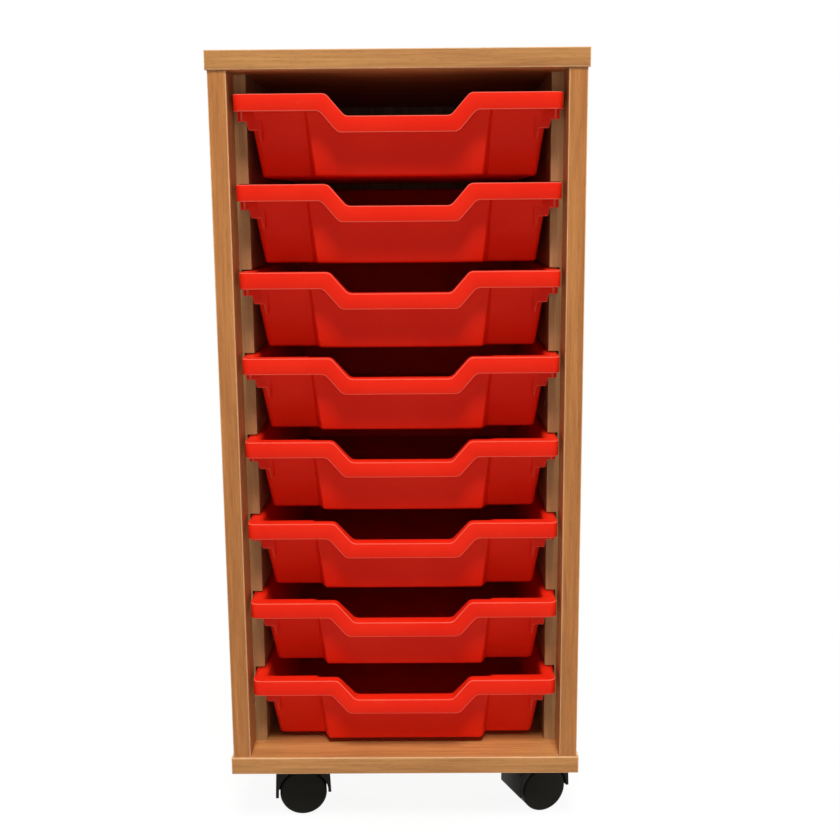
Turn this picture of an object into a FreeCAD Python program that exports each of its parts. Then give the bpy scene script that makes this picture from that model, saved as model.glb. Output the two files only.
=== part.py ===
"""Mobile tray storage unit: one column of shallow trays in a wooden carcase on castors.

The frame is +Z up, the origin lies on the floor under the middle of the carcase, and the
open front faces -Y. Lengths are in millimetres. Every sub-part reads its sizes from the
spreadsheet, so a change of one cell moves whatever fits to it.
"""
import FreeCAD, Part
import math
import os
import re
import Sketcher
from FreeCAD import Placement, Rotation, Vector

# ----------------------------------------------------------------- driving dimensions
DIMENSIONS = [
    ("carcase_depth", 450, "front to back of the top, edging strip included"),
    ("board", 18, "thickness of the top, base and side boards"),
    ("edging", 2, "thickness of the edging strips"),
    ("side_inset", 2, "outer face of a side board, inside the end of the top"),
    ("tray_side_play", 4, "rim of a tray to the side board"),
    ("front_setback", 2, "front of a side board, behind the front of the top"),
    ("back_thickness", 6, "back panel"),
    ("back_lap", 8, "how far the back panel laps the boards round it"),
    ("back_play", 0.3, "gap round the edge of the back panel"),
    ("lowest_rim", 82.2, "top of the lowest tray's rim above the base board"),
    ("headroom", 21.3, "top of the highest tray's rim to the top board"),
    ("tray_count", 8, "trays in the column"),
    ("tray_pitch", 83.5, "one rim to the next"),
    ("tray_setback", 5.3, "face of a tray's rim behind the front of the top"),

    ("runner_thickness", 12, "grooved panel on the inside of each side board"),
    ("runner_setback", 40, "front of the grooved panel behind the side board's front"),
    ("runner_back_gap", 0.3, "grooved panel to the back panel"),
    ("groove_side_play", 2, "end of a tray's flange to the bottom of its groove"),
    ("groove_play_below", 0.3, "lip of a tray over the floor of its groove"),
    ("groove_play_above", 1.3, "flange of a tray under the roof of its groove"),

    ("cap_hole_radius", 5, "fitting hole low on the inside of each side board"),
    ("cap_hole_depth", 11, "depth of that hole"),
    ("cap_hole_front", 36, "its centre behind the front of the side board"),
    ("cap_hole_height", 45, "its centre above the base board"),

    ("dowel_radius", 4, "beech dowel"),
    ("dowel_length", 30, "beech dowel"),
    ("dowel_in_board", 12, "how far a dowel enters the top or base board"),
    ("dowel_end_play", 0.5, "glue space at each end of a dowel"),
    ("dowel_spread", 300, "front dowel to back dowel"),

    ("screw_radius", 2, "shank of the panel screws"),
    ("screw_head_radius", 4, "countersunk head of the panel screws"),
    ("screw_head_height", 2.4, "countersunk head of the panel screws"),
    ("runner_screw_length", 24, "screw that holds a grooved panel"),
    ("runner_screw_spread", 300, "front screw to back screw in a grooved panel"),
    ("back_screw_length", 18, "screw that holds the back panel"),
    ("back_screw_pitch", 200, "one screw of the back panel to the next"),

    ("tray_width", 312, "over the rim"),
    ("tray_length", 427, "over the rim"),
    ("tray_height", 76, "rim top to underside of the floor"),
    ("tray_wall", 2, "moulded wall and floor"),
    ("rim_wall", 2.2, "moulded rim, flange and lip"),
    ("rim_height", 16, "face of the front rim"),
    ("rim_depth", 16.7, "front to back of the front rim"),
    ("rim_corner", 5, "plan corners of the rim"),
    ("lip_drop", 9, "lip of the side and rear flanges, below the rim's top"),
    ("dip_depth", 20.7, "finger dip in the front rim"),
    ("dip_half_width", 50, "half of the dip's flat top edge"),
    ("dip_under_half_width", 57, "half of the dip's flat lower edge"),
    ("dip_rim_height", 15.3, "face of the rim in the dip"),
    ("dip_slope", 49, "slope of the dip's ends, degrees"),
    ("dip_corner", 8, "rounding of the dip's corners"),
    ("side_flange", 11, "flange beside the side walls"),
    ("bulge_half", 89.5, "half width of the forward part of the front wall, at the rim"),
    ("bulge_step", 1.3, "sideways run of the step beside the forward part"),
    ("bulge_front", 11.5, "forward part of the front wall behind the rim's face"),
    ("recess_front", 15, "set-back part of the front wall behind the rim's face"),
    ("side_lean_angle", 7.6, "taper of the side walls, degrees"),
    ("rear_lean_angle", 11, "taper of the rear wall, degrees"),
    ("bulge_lean_angle", 11.5, "taper of the forward part, degrees"),
    ("recess_lean_angle", 20, "taper of the set-back parts, degrees"),
    ("step_lean_angle", 10, "taper of the steps between them, degrees"),
    ("rear_flange", 8, "flange behind the rear wall"),
    ("body_corner", 6, "upright corners of the tray body"),
    ("bulge_corner", 2.3, "upright corners of the forward part"),
    ("floor_corner", 3, "rounding round the underside of the tray"),

    ("stop_face", 22.7, "tray stops behind the rim's face"),
    ("stop_gap", 0.3, "tray stop to the front of the grooved panel"),
    ("stop_wall", 2, "moulded wall of the tray stops"),
    ("stop_inset", 1, "outer edge of a tray stop inside the end of the rim"),
    ("stop_first_drop", 24, "lowest point of the outer step"),
    ("stop_first_inset", 9.4, "inner end of the outer step, inside the end of the rim"),
    ("stop_second_drop", 32, "lowest point of the middle step"),
    ("stop_second_inset", 11.5, "outer end of the middle step"),
    ("stop_third_inset", 21, "inner end of the middle step"),
    ("stop_third_drop", 41.5, "lowest point of the inner step"),
    ("stop_rib_inset", 5.3, "middle of the small upright rib"),
    ("stop_rib_drop", 23, "lowest point of the rib"),

    ("castor_height", 64, "floor to the underside of the base board"),
    ("castor_inset_x", 53, "swivel axis to the end of the base"),
    ("castor_inset_y", 55, "swivel axis to the front or back of the base"),
    ("wheel_radius", 25, "castor wheel"),
    ("wheel_outer", 23, "outer face of a wheel from the castor's middle"),
    ("wheel_gap", 0.3, "wheel to the hood's web"),
    ("wheel_rim", 4.5, "radial thickness of the wheel's rim"),
    ("wheel_disc", 5, "thickness of the wheel's disc"),
    ("wheel_hub_radius", 7, "hub on the inner side of the disc"),
    ("wheel_bevel", 2, "bevel of the wheel's outer edge"),
    ("castor_trail", 14.5, "swivel axis to the axle"),
    ("hood_web", 9, "web between the two wheels"),
    ("hood_half_length", 29.7, "hood either side of the axle"),
    ("hood_shoulder_half", 28.7, "hood where the shoulders start"),
    ("hood_shoulder_height", 22.5, "start of the shoulders above the axle"),
    ("hood_top_half", 18, "half of the hood's flat top"),
    ("hood_rise", 30, "top of the hood above the axle"),
    ("hood_wheel_gap", 1.5, "inside of the hood round the wheel"),
    ("hood_long_leg", 4.6, "end of the longer leg below the axle"),
    ("hood_short_leg", 1, "end of the shorter leg below the axle"),
    ("hood_boss_radius", 10, "boss round the king pin"),
    ("hood_boss_drop", 14, "foot of the boss under the base board"),
    ("axle_radius", 3, "castor axle"),
    ("axle_half_length", 19, "castor axle"),
    ("running_fit", 0.05, "radial clearance of a turning fit"),
    ("plate_width", 38, "castor plate"),
    ("plate_thickness", 2, "castor plate"),
    ("plate_corner", 4, "castor plate"),
    ("plate_hole_radius", 2.2, "screw hole in the castor plate"),
    ("plate_hole_spread", 27, "hole to hole in the castor plate"),
    ("king_pin_radius", 3, "king pin"),
    ("king_pin_reach", 26, "end of the king pin under the base board"),
    ("king_collar_radius", 6, "collar of the king pin under the plate"),
    ("king_collar_height", 1.5, "collar of the king pin under the plate"),
    ("swivel_gap", 0.3, "collar to the hood's boss"),
    ("castor_screw_length", 14, "castor screw into the base board"),
    ("castor_screw_head", 3.6, "radius of the castor screw's head"),
    ("castor_screw_head_height", 2.2, "castor screw's head"),
    ("front_left_turn_angle", 7, "direction of trail, degrees from +X"),
    ("front_right_turn_angle", 23, "direction of trail, degrees from +X"),
    ("back_left_turn_angle", 12, "direction of trail, degrees from +X"),
    ("back_right_turn_angle", 160, "direction of trail, degrees from +X"),
]
NAMES = {name for name, _, _ in DIMENSIONS}
SAME = 0.01    # lengths closer than this are the same

doc = FreeCAD.newDocument("TrayStorageUnit")
sheet = doc.addObject("Spreadsheet::Sheet", "Dims")
for row, (name, number, meaning) in enumerate(DIMENSIONS, start=1):
    sheet.set("A%d" % row, name)
    sheet.set("B%d" % row, str(number))
    sheet.set("C%d" % row, meaning)
    sheet.setAlias("B%d" % row, name)
doc.recompute()

# Heights and widths that several sub-parts share, written once as formulas.
SIDE_FOOT = "(castor_height + board)"
CARCASE_WIDTH = "(tray_width + 2 * (tray_side_play + board + side_inset))"
SIDE_HEIGHT = "(lowest_rim + (tray_count - 1) * tray_pitch + headroom)"
FRONT = "(-carcase_depth / 2)"
BACK = "(carcase_depth / 2)"
SIDE_OUTER = "(%s / 2 - side_inset)" % CARCASE_WIDTH
SIDE_INNER = "(%s - board)" % SIDE_OUTER
SIDE_FRONT = "(%s + front_setback)" % FRONT
RUNNER_FRONT = "(%s + runner_setback)" % SIDE_FRONT
RUNNER_BACK = "(%s - back_thickness - runner_back_gap)" % BACK
LOWEST_RIM = "(%s + lowest_rim)" % SIDE_FOOT
BODY_HALF = "(tray_width / 2 - side_flange)"
AXLE_DROP = "(castor_height - wheel_radius)"


# ----------------------------------------------------------------------------- helpers
def cells(formula):
    """Writes each size's name in a formula as its cell in the spreadsheet."""
    return re.sub(r"[a-z_]+",
                  lambda word: "Dims." + word.group() if word.group() in NAMES else word.group(),
                  formula)


def value(formula):
    """The number that a formula gives with the sizes as they stand."""
    return float(sheet.evalExpression(cells(formula)))


def bind(thing, field, formula):
    """Ties one property of an object to a formula."""
    thing.setExpression(field, cells(formula))


def new_body(name):
    body = doc.addObject("PartDesign::Body", name)
    body.Label = name
    return body


def plane_of(body, role):
    return [item for item in body.Origin.OriginFeatures if item.Role == role][0]


def new_sketch(body, role, offset="0"):
    """A sketch on one of the body's origin planes, moved along its normal."""
    sketch = body.newObject("Sketcher::SketchObject", body.Name + "_sketch")
    sketch.AttachmentSupport = (plane_of(body, role), [""])
    sketch.MapMode = "FlatFace"
    bind(sketch, "AttachmentOffset.Base.z", offset)
    return sketch


def hold(sketch, kind, geometry, point, formula):
    """Sets a point of a sketch at a distance from its origin."""
    index = sketch.addConstraint(
        Sketcher.Constraint(kind, -1, 1, geometry, point, value(formula)))
    bind(sketch, "Constraints[%d]" % index, formula)


def draw_outline(sketch, corners):
    """A closed outline of straight lines through corners given as formulas."""
    first = sketch.GeometryCount
    spots = [Vector(value(across), value(up), 0) for across, up in corners]
    for here, there in zip(spots, spots[1:] + spots[:1]):
        sketch.addGeometry(Part.LineSegment(here, there), False)
    for index, (across, up) in enumerate(corners):
        line = first + index
        line_before = first + (index - 1) % len(corners)
        sketch.addConstraint(Sketcher.Constraint("Coincident", line_before, 2, line, 1))
        hold(sketch, "DistanceX", line, 1, across)
        hold(sketch, "DistanceY", line, 1, up)


def draw_rectangle(sketch, low_across, low_up, high_across, high_up):
    draw_outline(sketch, [(low_across, low_up), (high_across, low_up),
                          (high_across, high_up), (low_across, high_up)])


def draw_circle(sketch, across, up, radius):
    centre = Vector(value(across), value(up), 0)
    circle = sketch.addGeometry(Part.Circle(centre, Vector(0, 0, 1), value(radius)), False)
    hold(sketch, "DistanceX", circle, 3, across)
    hold(sketch, "DistanceY", circle, 3, up)
    index = sketch.addConstraint(Sketcher.Constraint("Radius", circle, value(radius)))
    bind(sketch, "Constraints[%d]" % index, radius)


def draw_arch(sketch, middle, springing, radius, foot):
    """A half circle on upright sides: its centre, its radius and where its sides end."""
    centre = Vector(value(middle), value(springing), 0)
    reach = value(radius)
    low = value(foot)
    half_circle = Part.ArcOfCircle(Part.Circle(centre, Vector(0, 0, 1), reach), 0, math.pi)
    arc = sketch.addGeometry(half_circle, False)
    corners = [centre - Vector(reach, 0, 0), Vector(centre.x - reach, low, 0),
               Vector(centre.x + reach, low, 0), centre + Vector(reach, 0, 0)]
    for here, there in zip(corners, corners[1:]):
        sketch.addGeometry(Part.LineSegment(here, there), False)
    for geometry, following in ((0, 1), (1, 2), (2, 3)):
        sketch.addConstraint(Sketcher.Constraint("Coincident", arc + geometry, 2,
                                                 arc + following, 1))
    sketch.addConstraint(Sketcher.Constraint("Coincident", arc + 3, 2, arc, 1))
    hold(sketch, "DistanceX", arc, 3, middle)
    hold(sketch, "DistanceY", arc, 3, springing)
    hold(sketch, "DistanceY", arc, 1, springing)
    hold(sketch, "DistanceY", arc, 2, springing)
    index = sketch.addConstraint(Sketcher.Constraint("Radius", arc, reach))
    bind(sketch, "Constraints[%d]" % index, radius)
    for line, sign in ((arc + 2, "-"), (arc + 3, "+")):
        hold(sketch, "DistanceX", line, 1, "%s %s %s" % (middle, sign, radius))
        hold(sketch, "DistanceY", line, 1, foot)


def extrude(body, kind, sketch, length, backwards=False, both_ways=False):
    """A Pad or Pocket of a sketch; a Pocket has to take some material away."""
    volume_before = body.Shape.Volume if kind == "Pocket" else 0
    feature = body.newObject("PartDesign::" + kind, body.Name + "_" + kind.lower())
    feature.Profile = sketch
    bind(feature, "Length", length)
    feature.Reversed = backwards
    feature.Midplane = both_ways
    doc.recompute()
    if kind == "Pocket" and not body.Shape.Volume < volume_before:
        raise ValueError("a pocket of %s cuts nothing" % body.Label)
    return feature


def revolve(body, sketch):
    """A full turn of a sketch about its own upright axis."""
    feature = body.newObject("PartDesign::Revolution", body.Name + "_turned")
    feature.Profile = sketch
    feature.ReferenceAxis = (sketch, ["V_Axis"])
    feature.Angle = 360
    doc.recompute()
    return feature


def round_edges(body, radius, wanted):
    """Rounds the edges of the body's last shape that the test picks."""
    base = body.Tip
    picked = ["Edge%d" % number for number, edge in enumerate(base.Shape.Edges, start=1)
              if wanted(edge)]
    feature = body.newObject("PartDesign::Fillet", body.Name + "_round")
    feature.Base = (base, picked)
    bind(feature, "Radius", radius)
    doc.recompute()
    return feature


def mirror(body, originals):
    """Repeats features of the body on the other side of its middle, X = 0."""
    feature = body.newObject("PartDesign::Mirrored", body.Name + "_mirror")
    feature.Originals = originals
    feature.MirrorPlane = (plane_of(body, "YZ_Plane"), [""])
    body.Tip = feature
    doc.recompute()
    return feature


def spans(edge):
    """How far an edge reaches along X, Y and Z."""
    box = edge.BoundBox
    return box.XLength, box.YLength, box.ZLength


def near(first, second):
    return abs(first - second) < SAME


def place(thing, across="0", along="0", up="0", turn="0"):
    """Binds a sub-part's placement: its position and its turn about +Z."""
    thing.Placement = Placement(Vector(0, 0, 0), Rotation(Vector(0, 0, 1), 1))
    bind(thing, "Placement.Base.x", across)
    bind(thing, "Placement.Base.y", along)
    bind(thing, "Placement.Base.z", up)
    bind(thing, "Placement.Rotation.Angle", turn)


def copy_of(master, name, **where):
    """A sub-part of its own, with the master's shape in another place."""
    body = new_body(name)
    base = body.newObject("PartDesign::FeatureBase", name + "_base")
    base.BaseFeature = master
    body.Tip = base
    place(body, **where)
    return body


def group(name, solids):
    """Several like pieces that share one node."""
    bundle = doc.addObject("Part::Compound", name)
    bundle.Label = name
    bundle.Links = solids
    return bundle


def box(name, low, high):
    """A Part::Box between two corners given as formulas."""
    solid = doc.addObject("Part::Box", name)
    solid.Label = name
    for field, near_end, far_end in zip(("Length", "Width", "Height"), low, high):
        bind(solid, field, "(%s) - (%s)" % (far_end, near_end))
    place(solid, *low)
    return solid


# ------------------------------------------------------------------------------ carcase
def dowel_spots():
    """Places across and along of the dowels in one board."""
    return [("%s(%s - board / 2)" % (side, SIDE_OUTER), "%sdowel_spread / 2" % end)
            for side in ("-", "") for end in ("-", "")]


def make_lid(name, foot, inner_face_up):
    """The top or the base: a board with a rebate for the back panel and dowel holes."""
    body = new_body(name)
    half = "(%s / 2 - edging)" % CARCASE_WIDTH
    outline = new_sketch(body, "XY_Plane")
    draw_rectangle(outline, "-" + half, FRONT + " + edging", half, BACK)
    extrude(body, "Pad", outline, "board")
    inner_face = "board" if inner_face_up else "0"

    rebate = new_sketch(body, "XY_Plane", inner_face)
    reach = "(%s + back_lap)" % SIDE_INNER
    draw_rectangle(rebate, "-" + reach, BACK + " - back_thickness", reach, BACK)
    extrude(body, "Pocket", rebate, "back_lap", backwards=not inner_face_up)

    holes = new_sketch(body, "XY_Plane", inner_face)
    for across, along in dowel_spots():
        draw_circle(holes, across, along, "dowel_radius")
    extrude(body, "Pocket", holes, "dowel_in_board + dowel_end_play",
            backwards=not inner_face_up)
    place(body, up=foot)
    return body


def make_side(name, side):
    """A side board: pads out from its inner face; side is -1 on the left, 1 on the right."""
    sign = "-" if side < 0 else ""
    body = new_body(name)
    inner = "%s%s" % (sign, SIDE_INNER)
    outline = new_sketch(body, "YZ_Plane", inner)
    draw_rectangle(outline, SIDE_FRONT + " + edging", "0", BACK, SIDE_HEIGHT)
    extrude(body, "Pad", outline, "board", backwards=side < 0)

    rebate = new_sketch(body, "YZ_Plane", inner)
    draw_rectangle(rebate, BACK + " - back_thickness", "0", BACK, SIDE_HEIGHT)
    extrude(body, "Pocket", rebate, "back_lap", backwards=side > 0)

    fitting_hole = new_sketch(body, "YZ_Plane", inner)
    draw_circle(fitting_hole, SIDE_FRONT + " + cap_hole_front", "cap_hole_height",
                "cap_hole_radius")
    extrude(body, "Pocket", fitting_hole, "cap_hole_depth", backwards=side > 0)

    pilot_holes = new_sketch(body, "YZ_Plane", inner)
    for along, up in runner_screw_spots():
        draw_circle(pilot_holes, along, up, "screw_radius")
    extrude(body, "Pocket", pilot_holes, "runner_screw_length - runner_thickness",
            backwards=side > 0)

    back_pilots = new_sketch(body, "XZ_Plane", "-(%s - back_thickness)" % BACK)
    for across, up in back_screw_spots():
        if across.startswith("-") == (side < 0):
            draw_circle(back_pilots, across, up, "screw_radius")
    extrude(body, "Pocket", back_pilots, "back_screw_length - back_thickness", backwards=True)

    for end, into_board in (("0", True), (SIDE_HEIGHT, False)):
        holes = new_sketch(body, "XY_Plane", end)
        for across, along in dowel_spots():
            if across.startswith("-") == (side < 0):
                draw_circle(holes, across, along, "dowel_radius")
        extrude(body, "Pocket", holes, "dowel_length - dowel_in_board + dowel_end_play",
                backwards=into_board)
    place(body, up=SIDE_FOOT)
    return body


def back_screw_spots():
    """Places across and up of the screws down both edges of the back panel."""
    across = "(%s + back_lap / 2)" % SIDE_INNER
    return [(side + across, "%s / 2 + (%s) * back_screw_pitch" % (SIDE_HEIGHT, step))
            for side in ("-", "") for step in (-1.5, -0.5, 0.5, 1.5)]


def make_back():
    """The thin panel in the rebates of all four boards, with seats for its screws."""
    body = new_body("back_panel_board")
    reach = "(%s + back_lap - back_play)" % SIDE_INNER
    outline = new_sketch(body, "XZ_Plane", "-" + BACK)
    draw_rectangle(outline, "-" + reach, "-back_lap + back_play",
                   reach, SIDE_HEIGHT + " + back_lap - back_play")
    extrude(body, "Pad", outline, "back_thickness")
    holes = new_sketch(body, "XZ_Plane", "-" + BACK)
    for across, up in back_screw_spots():
        draw_circle(holes, across, up, "screw_radius")
    extrude(body, "Pocket", holes, "back_thickness", backwards=True)
    place(body, up=SIDE_FOOT)
    seats = []
    for across, up in back_screw_spots():
        seat = make_countersink()
        lay_forwards(seat, across, BACK, "%s + %s" % (SIDE_FOOT, up))
        seats.append(seat)
    return seat_screws(body, seats, "back_panel")


def make_back_screws():
    screws = []
    for across, up in back_screw_spots():
        screw = make_screw("screw_head_radius", "screw_head_height", "back_screw_length",
                           flat_head=True)
        lay_forwards(screw, across, BACK, "%s + %s" % (SIDE_FOOT, up))
        screws.append(screw)
    return group("back_panel_screws", screws)


def make_edgings():
    """Strips on the front edges of all four boards and on the ends of top and base."""
    strips = []
    half = "%s / 2" % CARCASE_WIDTH
    for name, foot in (("base", "castor_height"), ("top", SIDE_FOOT + " + " + SIDE_HEIGHT)):
        head = foot + " + board"
        strips.append(box(name + "_front_edging", ("-" + half, FRONT, foot),
                          (half, FRONT + " + edging", head)))
        ends = [box(name + "_left_end_strip", ("-" + half, FRONT + " + edging", foot),
                    ("-%s + edging" % half, BACK, head)),
                box(name + "_right_end_strip", (half + " - edging", FRONT + " + edging", foot),
                    (half, BACK, head))]
        strips.append(group(name + "_end_edgings", ends))
    for name, low, high in (("left", "-" + SIDE_OUTER, "-" + SIDE_INNER),
                            ("right", SIDE_INNER, SIDE_OUTER)):
        strips.append(box(name + "_side_edging", (low, SIDE_FRONT, SIDE_FOOT),
                          (high, SIDE_FRONT + " + edging", SIDE_FOOT + " + " + SIDE_HEIGHT)))
    return strips


def make_dowels():
    dowels = []
    lower_foot = "castor_height + board - dowel_in_board"
    upper_foot = "%s + %s + dowel_in_board - dowel_length" % (SIDE_FOOT, SIDE_HEIGHT)
    for foot in (lower_foot, upper_foot):
        for across, along in dowel_spots():
            dowel = doc.addObject("Part::Cylinder", "dowel")
            bind(dowel, "Radius", "dowel_radius")
            bind(dowel, "Height", "dowel_length")
            place(dowel, across, along, foot)
            dowels.append(dowel)
    return group("carcase_dowels", dowels)


# ------------------------------------------------------------------------ runner panels
def runner_screw_spots():
    """Places along and up of one grooved panel's screws, between its grooves."""
    return [("%srunner_screw_spread / 2" % end,
             "lowest_rim + (%s) * tray_pitch - rim_height" % step)
            for end in ("-", "") for step in ("0.5", "tray_count / 2 - 0.5", "tray_count - 1.5")]


def runner_face(side):
    """The inner face of a grooved panel."""
    return "%s(%s - runner_thickness)" % ("-" if side < 0 else "", SIDE_INNER)


def make_runner(name, side):
    """A panel with one groove a tray, open to the front, back and inside."""
    sign = "-" if side < 0 else ""
    body = new_body(name + "_board")
    outer = "%s%s" % (sign, SIDE_INNER)
    outline = new_sketch(body, "YZ_Plane", outer)
    draw_rectangle(outline, RUNNER_FRONT, "0", RUNNER_BACK, SIDE_HEIGHT)
    extrude(body, "Pad", outline, "runner_thickness", backwards=side > 0)

    groove = new_sketch(body, "YZ_Plane", runner_face(side))
    draw_rectangle(groove, RUNNER_FRONT, "lowest_rim - lip_drop - groove_play_below",
                   RUNNER_BACK, "lowest_rim + groove_play_above")
    cut = extrude(body, "Pocket", groove,
                  "tray_width / 2 + groove_side_play - %s + runner_thickness" % SIDE_INNER,
                  backwards=side > 0)
    grooves = body.newObject("PartDesign::LinearPattern", name + "_grooves")
    grooves.Originals = [cut]
    grooves.Direction = (groove, ["V_Axis"])
    bind(grooves, "Length", "(tray_count - 1) * tray_pitch")
    bind(grooves, "Occurrences", "tray_count")
    body.Tip = grooves
    doc.recompute()

    holes = new_sketch(body, "YZ_Plane", outer)
    for along, up in runner_screw_spots():
        draw_circle(holes, along, up, "screw_radius")
    extrude(body, "Pocket", holes, "runner_thickness", backwards=side < 0)
    place(body, up=SIDE_FOOT)
    seats = []
    for along, up in runner_screw_spots():
        seat = make_countersink()
        lay_along_x(seat, runner_face(side), along, "%s + %s" % (SIDE_FOOT, up), side)
        seats.append(seat)
    return seat_screws(body, seats, name)


def make_countersink():
    """The cone that a flat screw head sinks into, pointing along +Z."""
    seat = doc.addObject("Part::Cone", "countersink")
    bind(seat, "Radius1", "screw_head_radius")
    bind(seat, "Radius2", "screw_radius")
    bind(seat, "Height", "screw_head_height")
    return seat


def seat_screws(board, seats, name):
    """A panel with the seats of its screw heads cut out."""
    seated = doc.addObject("Part::Cut", name)
    seated.Base = board
    seated.Tool = group(name + "_seats", seats)
    seated.Label = name
    return seated


def lay_along_x(solid, across, along, up, side):
    """Turns a cone or screw from +Z to point outwards along X, and places it."""
    solid.Placement = Placement(Vector(0, 0, 0), Rotation(Vector(0, 1, 0), 90 * side))
    move_to(solid, across, along, up)


def lay_forwards(solid, across, along, up):
    """Turns a cone or screw from +Z to point forwards along -Y, and places it."""
    solid.Placement = Placement(Vector(0, 0, 0), Rotation(Vector(1, 0, 0), 90))
    move_to(solid, across, along, up)


def move_to(solid, across, along, up):
    bind(solid, "Placement.Base.x", across)
    bind(solid, "Placement.Base.y", along)
    bind(solid, "Placement.Base.z", up)


def make_screw(head_radius, head_height, length, flat_head):
    """A screw along +Z with its head's face at Z = 0: countersunk, or a pan head below."""
    shank = doc.addObject("Part::Cylinder", "shank")
    bind(shank, "Radius", "screw_radius")
    bind(shank, "Height", length)
    if flat_head:
        head = doc.addObject("Part::Cone", "head")
        bind(head, "Radius1", head_radius)
        bind(head, "Radius2", "screw_radius")
    else:
        head = doc.addObject("Part::Cylinder", "head")
        bind(head, "Radius", head_radius)
        bind(head, "Placement.Base.z", "-(%s)" % head_height)
    bind(head, "Height", head_height)
    screw = doc.addObject("Part::Fuse", "screw")
    screw.Base = head
    screw.Tool = shank
    return screw


def make_runner_screws():
    screws = []
    for side in (-1, 1):
        for along, up in runner_screw_spots():
            screw = make_screw("screw_head_radius", "screw_head_height",
                               "runner_screw_length", flat_head=True)
            lay_along_x(screw, runner_face(side), along, "%s + %s" % (SIDE_FOOT, up), side)
            screws.append(screw)
    return group("runner_screws", screws)


# -------------------------------------------------------------------------------- trays
def lean(body, angle, wanted):
    """Leans the walls that the test picks inwards, about the plane of the rim."""
    base = body.Tip
    picked = ["Face%d" % number for number, face in enumerate(base.Shape.Faces, start=1)
              if wanted(face)]
    feature = body.newObject("PartDesign::Draft", body.Name + "_lean")
    feature.Base = (base, picked)
    feature.NeutralPlane = (plane_of(body, "XY_Plane"), [""])
    feature.Reversed = True
    bind(feature, "Angle", angle)
    doc.recompute()
    return feature


def facing(face):
    return face.normalAt(0, 0)


def is_upright(edge):
    across, along, up = spans(edge)
    return up > 0.8 * value("tray_height - tray_wall")


def is_body_corner(edge):
    return is_upright(edge) and abs(edge.CenterOfMass.x) > value("bulge_half + tray_wall")\
        and abs(edge.CenterOfMass.x) > value("bulge_half + " + BODY_HALF) / 2


def is_bulge_corner(edge):
    return is_upright(edge) and not is_body_corner(edge)


def make_tray_block(name, inset, depth):
    """The tapered form of the tray: its outside, or its inside one wall smaller."""
    body = new_body(name)
    half = "(%s - %s)" % (BODY_HALF, inset)
    bulge = "(bulge_half - %s)" % inset
    step_end = "(%s + bulge_step)" % bulge
    bulge_face = "(bulge_front + %s)" % inset
    recess_face = "(recess_front + %s)" % inset
    back = "(tray_length - rear_flange - %s)" % inset
    plan = new_sketch(body, "XY_Plane")
    draw_outline(plan, [
        ("-" + half, back), ("-" + half, recess_face), ("-" + step_end, recess_face),
        ("-" + bulge, bulge_face), (bulge, bulge_face), (step_end, recess_face),
        (half, recess_face), (half, back)])
    extrude(body, "Pad", plan, depth, backwards=True)

    lean(body, "side_lean_angle", lambda face: abs(facing(face).x) > 0.99)
    lean(body, "rear_lean_angle", lambda face: facing(face).y > 0.7)
    lean(body, "recess_lean_angle", lambda face: facing(face).y < -0.9
         and abs(face.CenterOfMass.x) > 1)
    lean(body, "bulge_lean_angle", lambda face: facing(face).y < -0.9
         and abs(face.CenterOfMass.x) < 1)
    lean(body, "step_lean_angle", lambda face: 0.3 < abs(facing(face).x) < 0.97)
    round_edges(body, "body_corner - " + inset, is_body_corner)
    round_edges(body, "bulge_corner - " + inset, is_bulge_corner)
    return body


def add_tray_flange(body):
    """A flat rim all round, with a lip hanging from its edge."""
    rim = new_sketch(body, "XY_Plane")
    draw_rectangle(rim, "-tray_width / 2", "0", "tray_width / 2", "tray_length")
    extrude(body, "Pad", rim, "rim_wall", backwards=True)
    lip = new_sketch(body, "XY_Plane")
    draw_rectangle(lip, "-tray_width / 2", "0", "tray_width / 2", "tray_length")
    draw_rectangle(lip, "-tray_width / 2 + rim_wall", "rim_wall",
                   "tray_width / 2 - rim_wall", "tray_length - rim_wall")
    extrude(body, "Pad", lip, "lip_drop", backwards=True)


def add_tray_stops(body):
    """Stepped stops under the front corners, which meet the grooved panels."""
    end = "(tray_width / 2 - %s)"
    second = end % "stop_second_inset"
    third = end % "stop_third_inset"
    root = "(%s - stop_wall)" % third
    inner_end = "(%s - stop_wall)" % root
    steps = [(second, "-stop_second_drop"), (third, "-stop_second_drop"),
             (root, "-stop_third_drop"), (inner_end, "-stop_third_drop"),
             (inner_end, "-rim_wall / 2")]
    plate = new_sketch(body, "XZ_Plane", "-stop_face")
    draw_outline(plate, [
        (end % "stop_inset", "-rim_wall / 2"), (end % "stop_inset", "-stop_first_drop"),
        (end % "stop_first_inset", "-stop_first_drop")] + steps)
    plate_pad = extrude(body, "Pad", plate, "stop_wall", backwards=True)

    block = new_sketch(body, "XZ_Plane", "-stop_face")
    draw_outline(block, [(second, "-rim_wall / 2")] + steps)
    reach = "(front_setback + runner_setback - tray_setback - stop_face - stop_gap)"
    block_pad = extrude(body, "Pad", block, reach, backwards=True)

    rib = new_sketch(body, "XZ_Plane", "-stop_face")
    rib_middle = end % "stop_rib_inset"
    draw_rectangle(rib, rib_middle + " - stop_wall / 2", "-stop_rib_drop",
                   rib_middle + " + stop_wall / 2", "-rim_wall / 2")
    rib_pad = extrude(body, "Pad", rib, reach, backwards=True)
    mirror(body, [plate_pad, block_pad, rib_pad])


def cut_tray_inside(body):
    """Hollows the tray, leaving one wall thickness all round."""
    inside = make_tray_block("tray_inside", "tray_wall", "(tray_height - tray_wall)")
    hollow = body.newObject("PartDesign::Boolean", "tray_hollow")
    hollow.setObjects([inside])
    hollow.Type = "Cut"
    body.Tip = hollow
    doc.recompute()


def dip_corner_shift():
    """Sideways shift that keeps the rim's thickness even round the dip's corners."""
    return "rim_wall * tan(dip_slope / 2 * 1 deg)"


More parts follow.
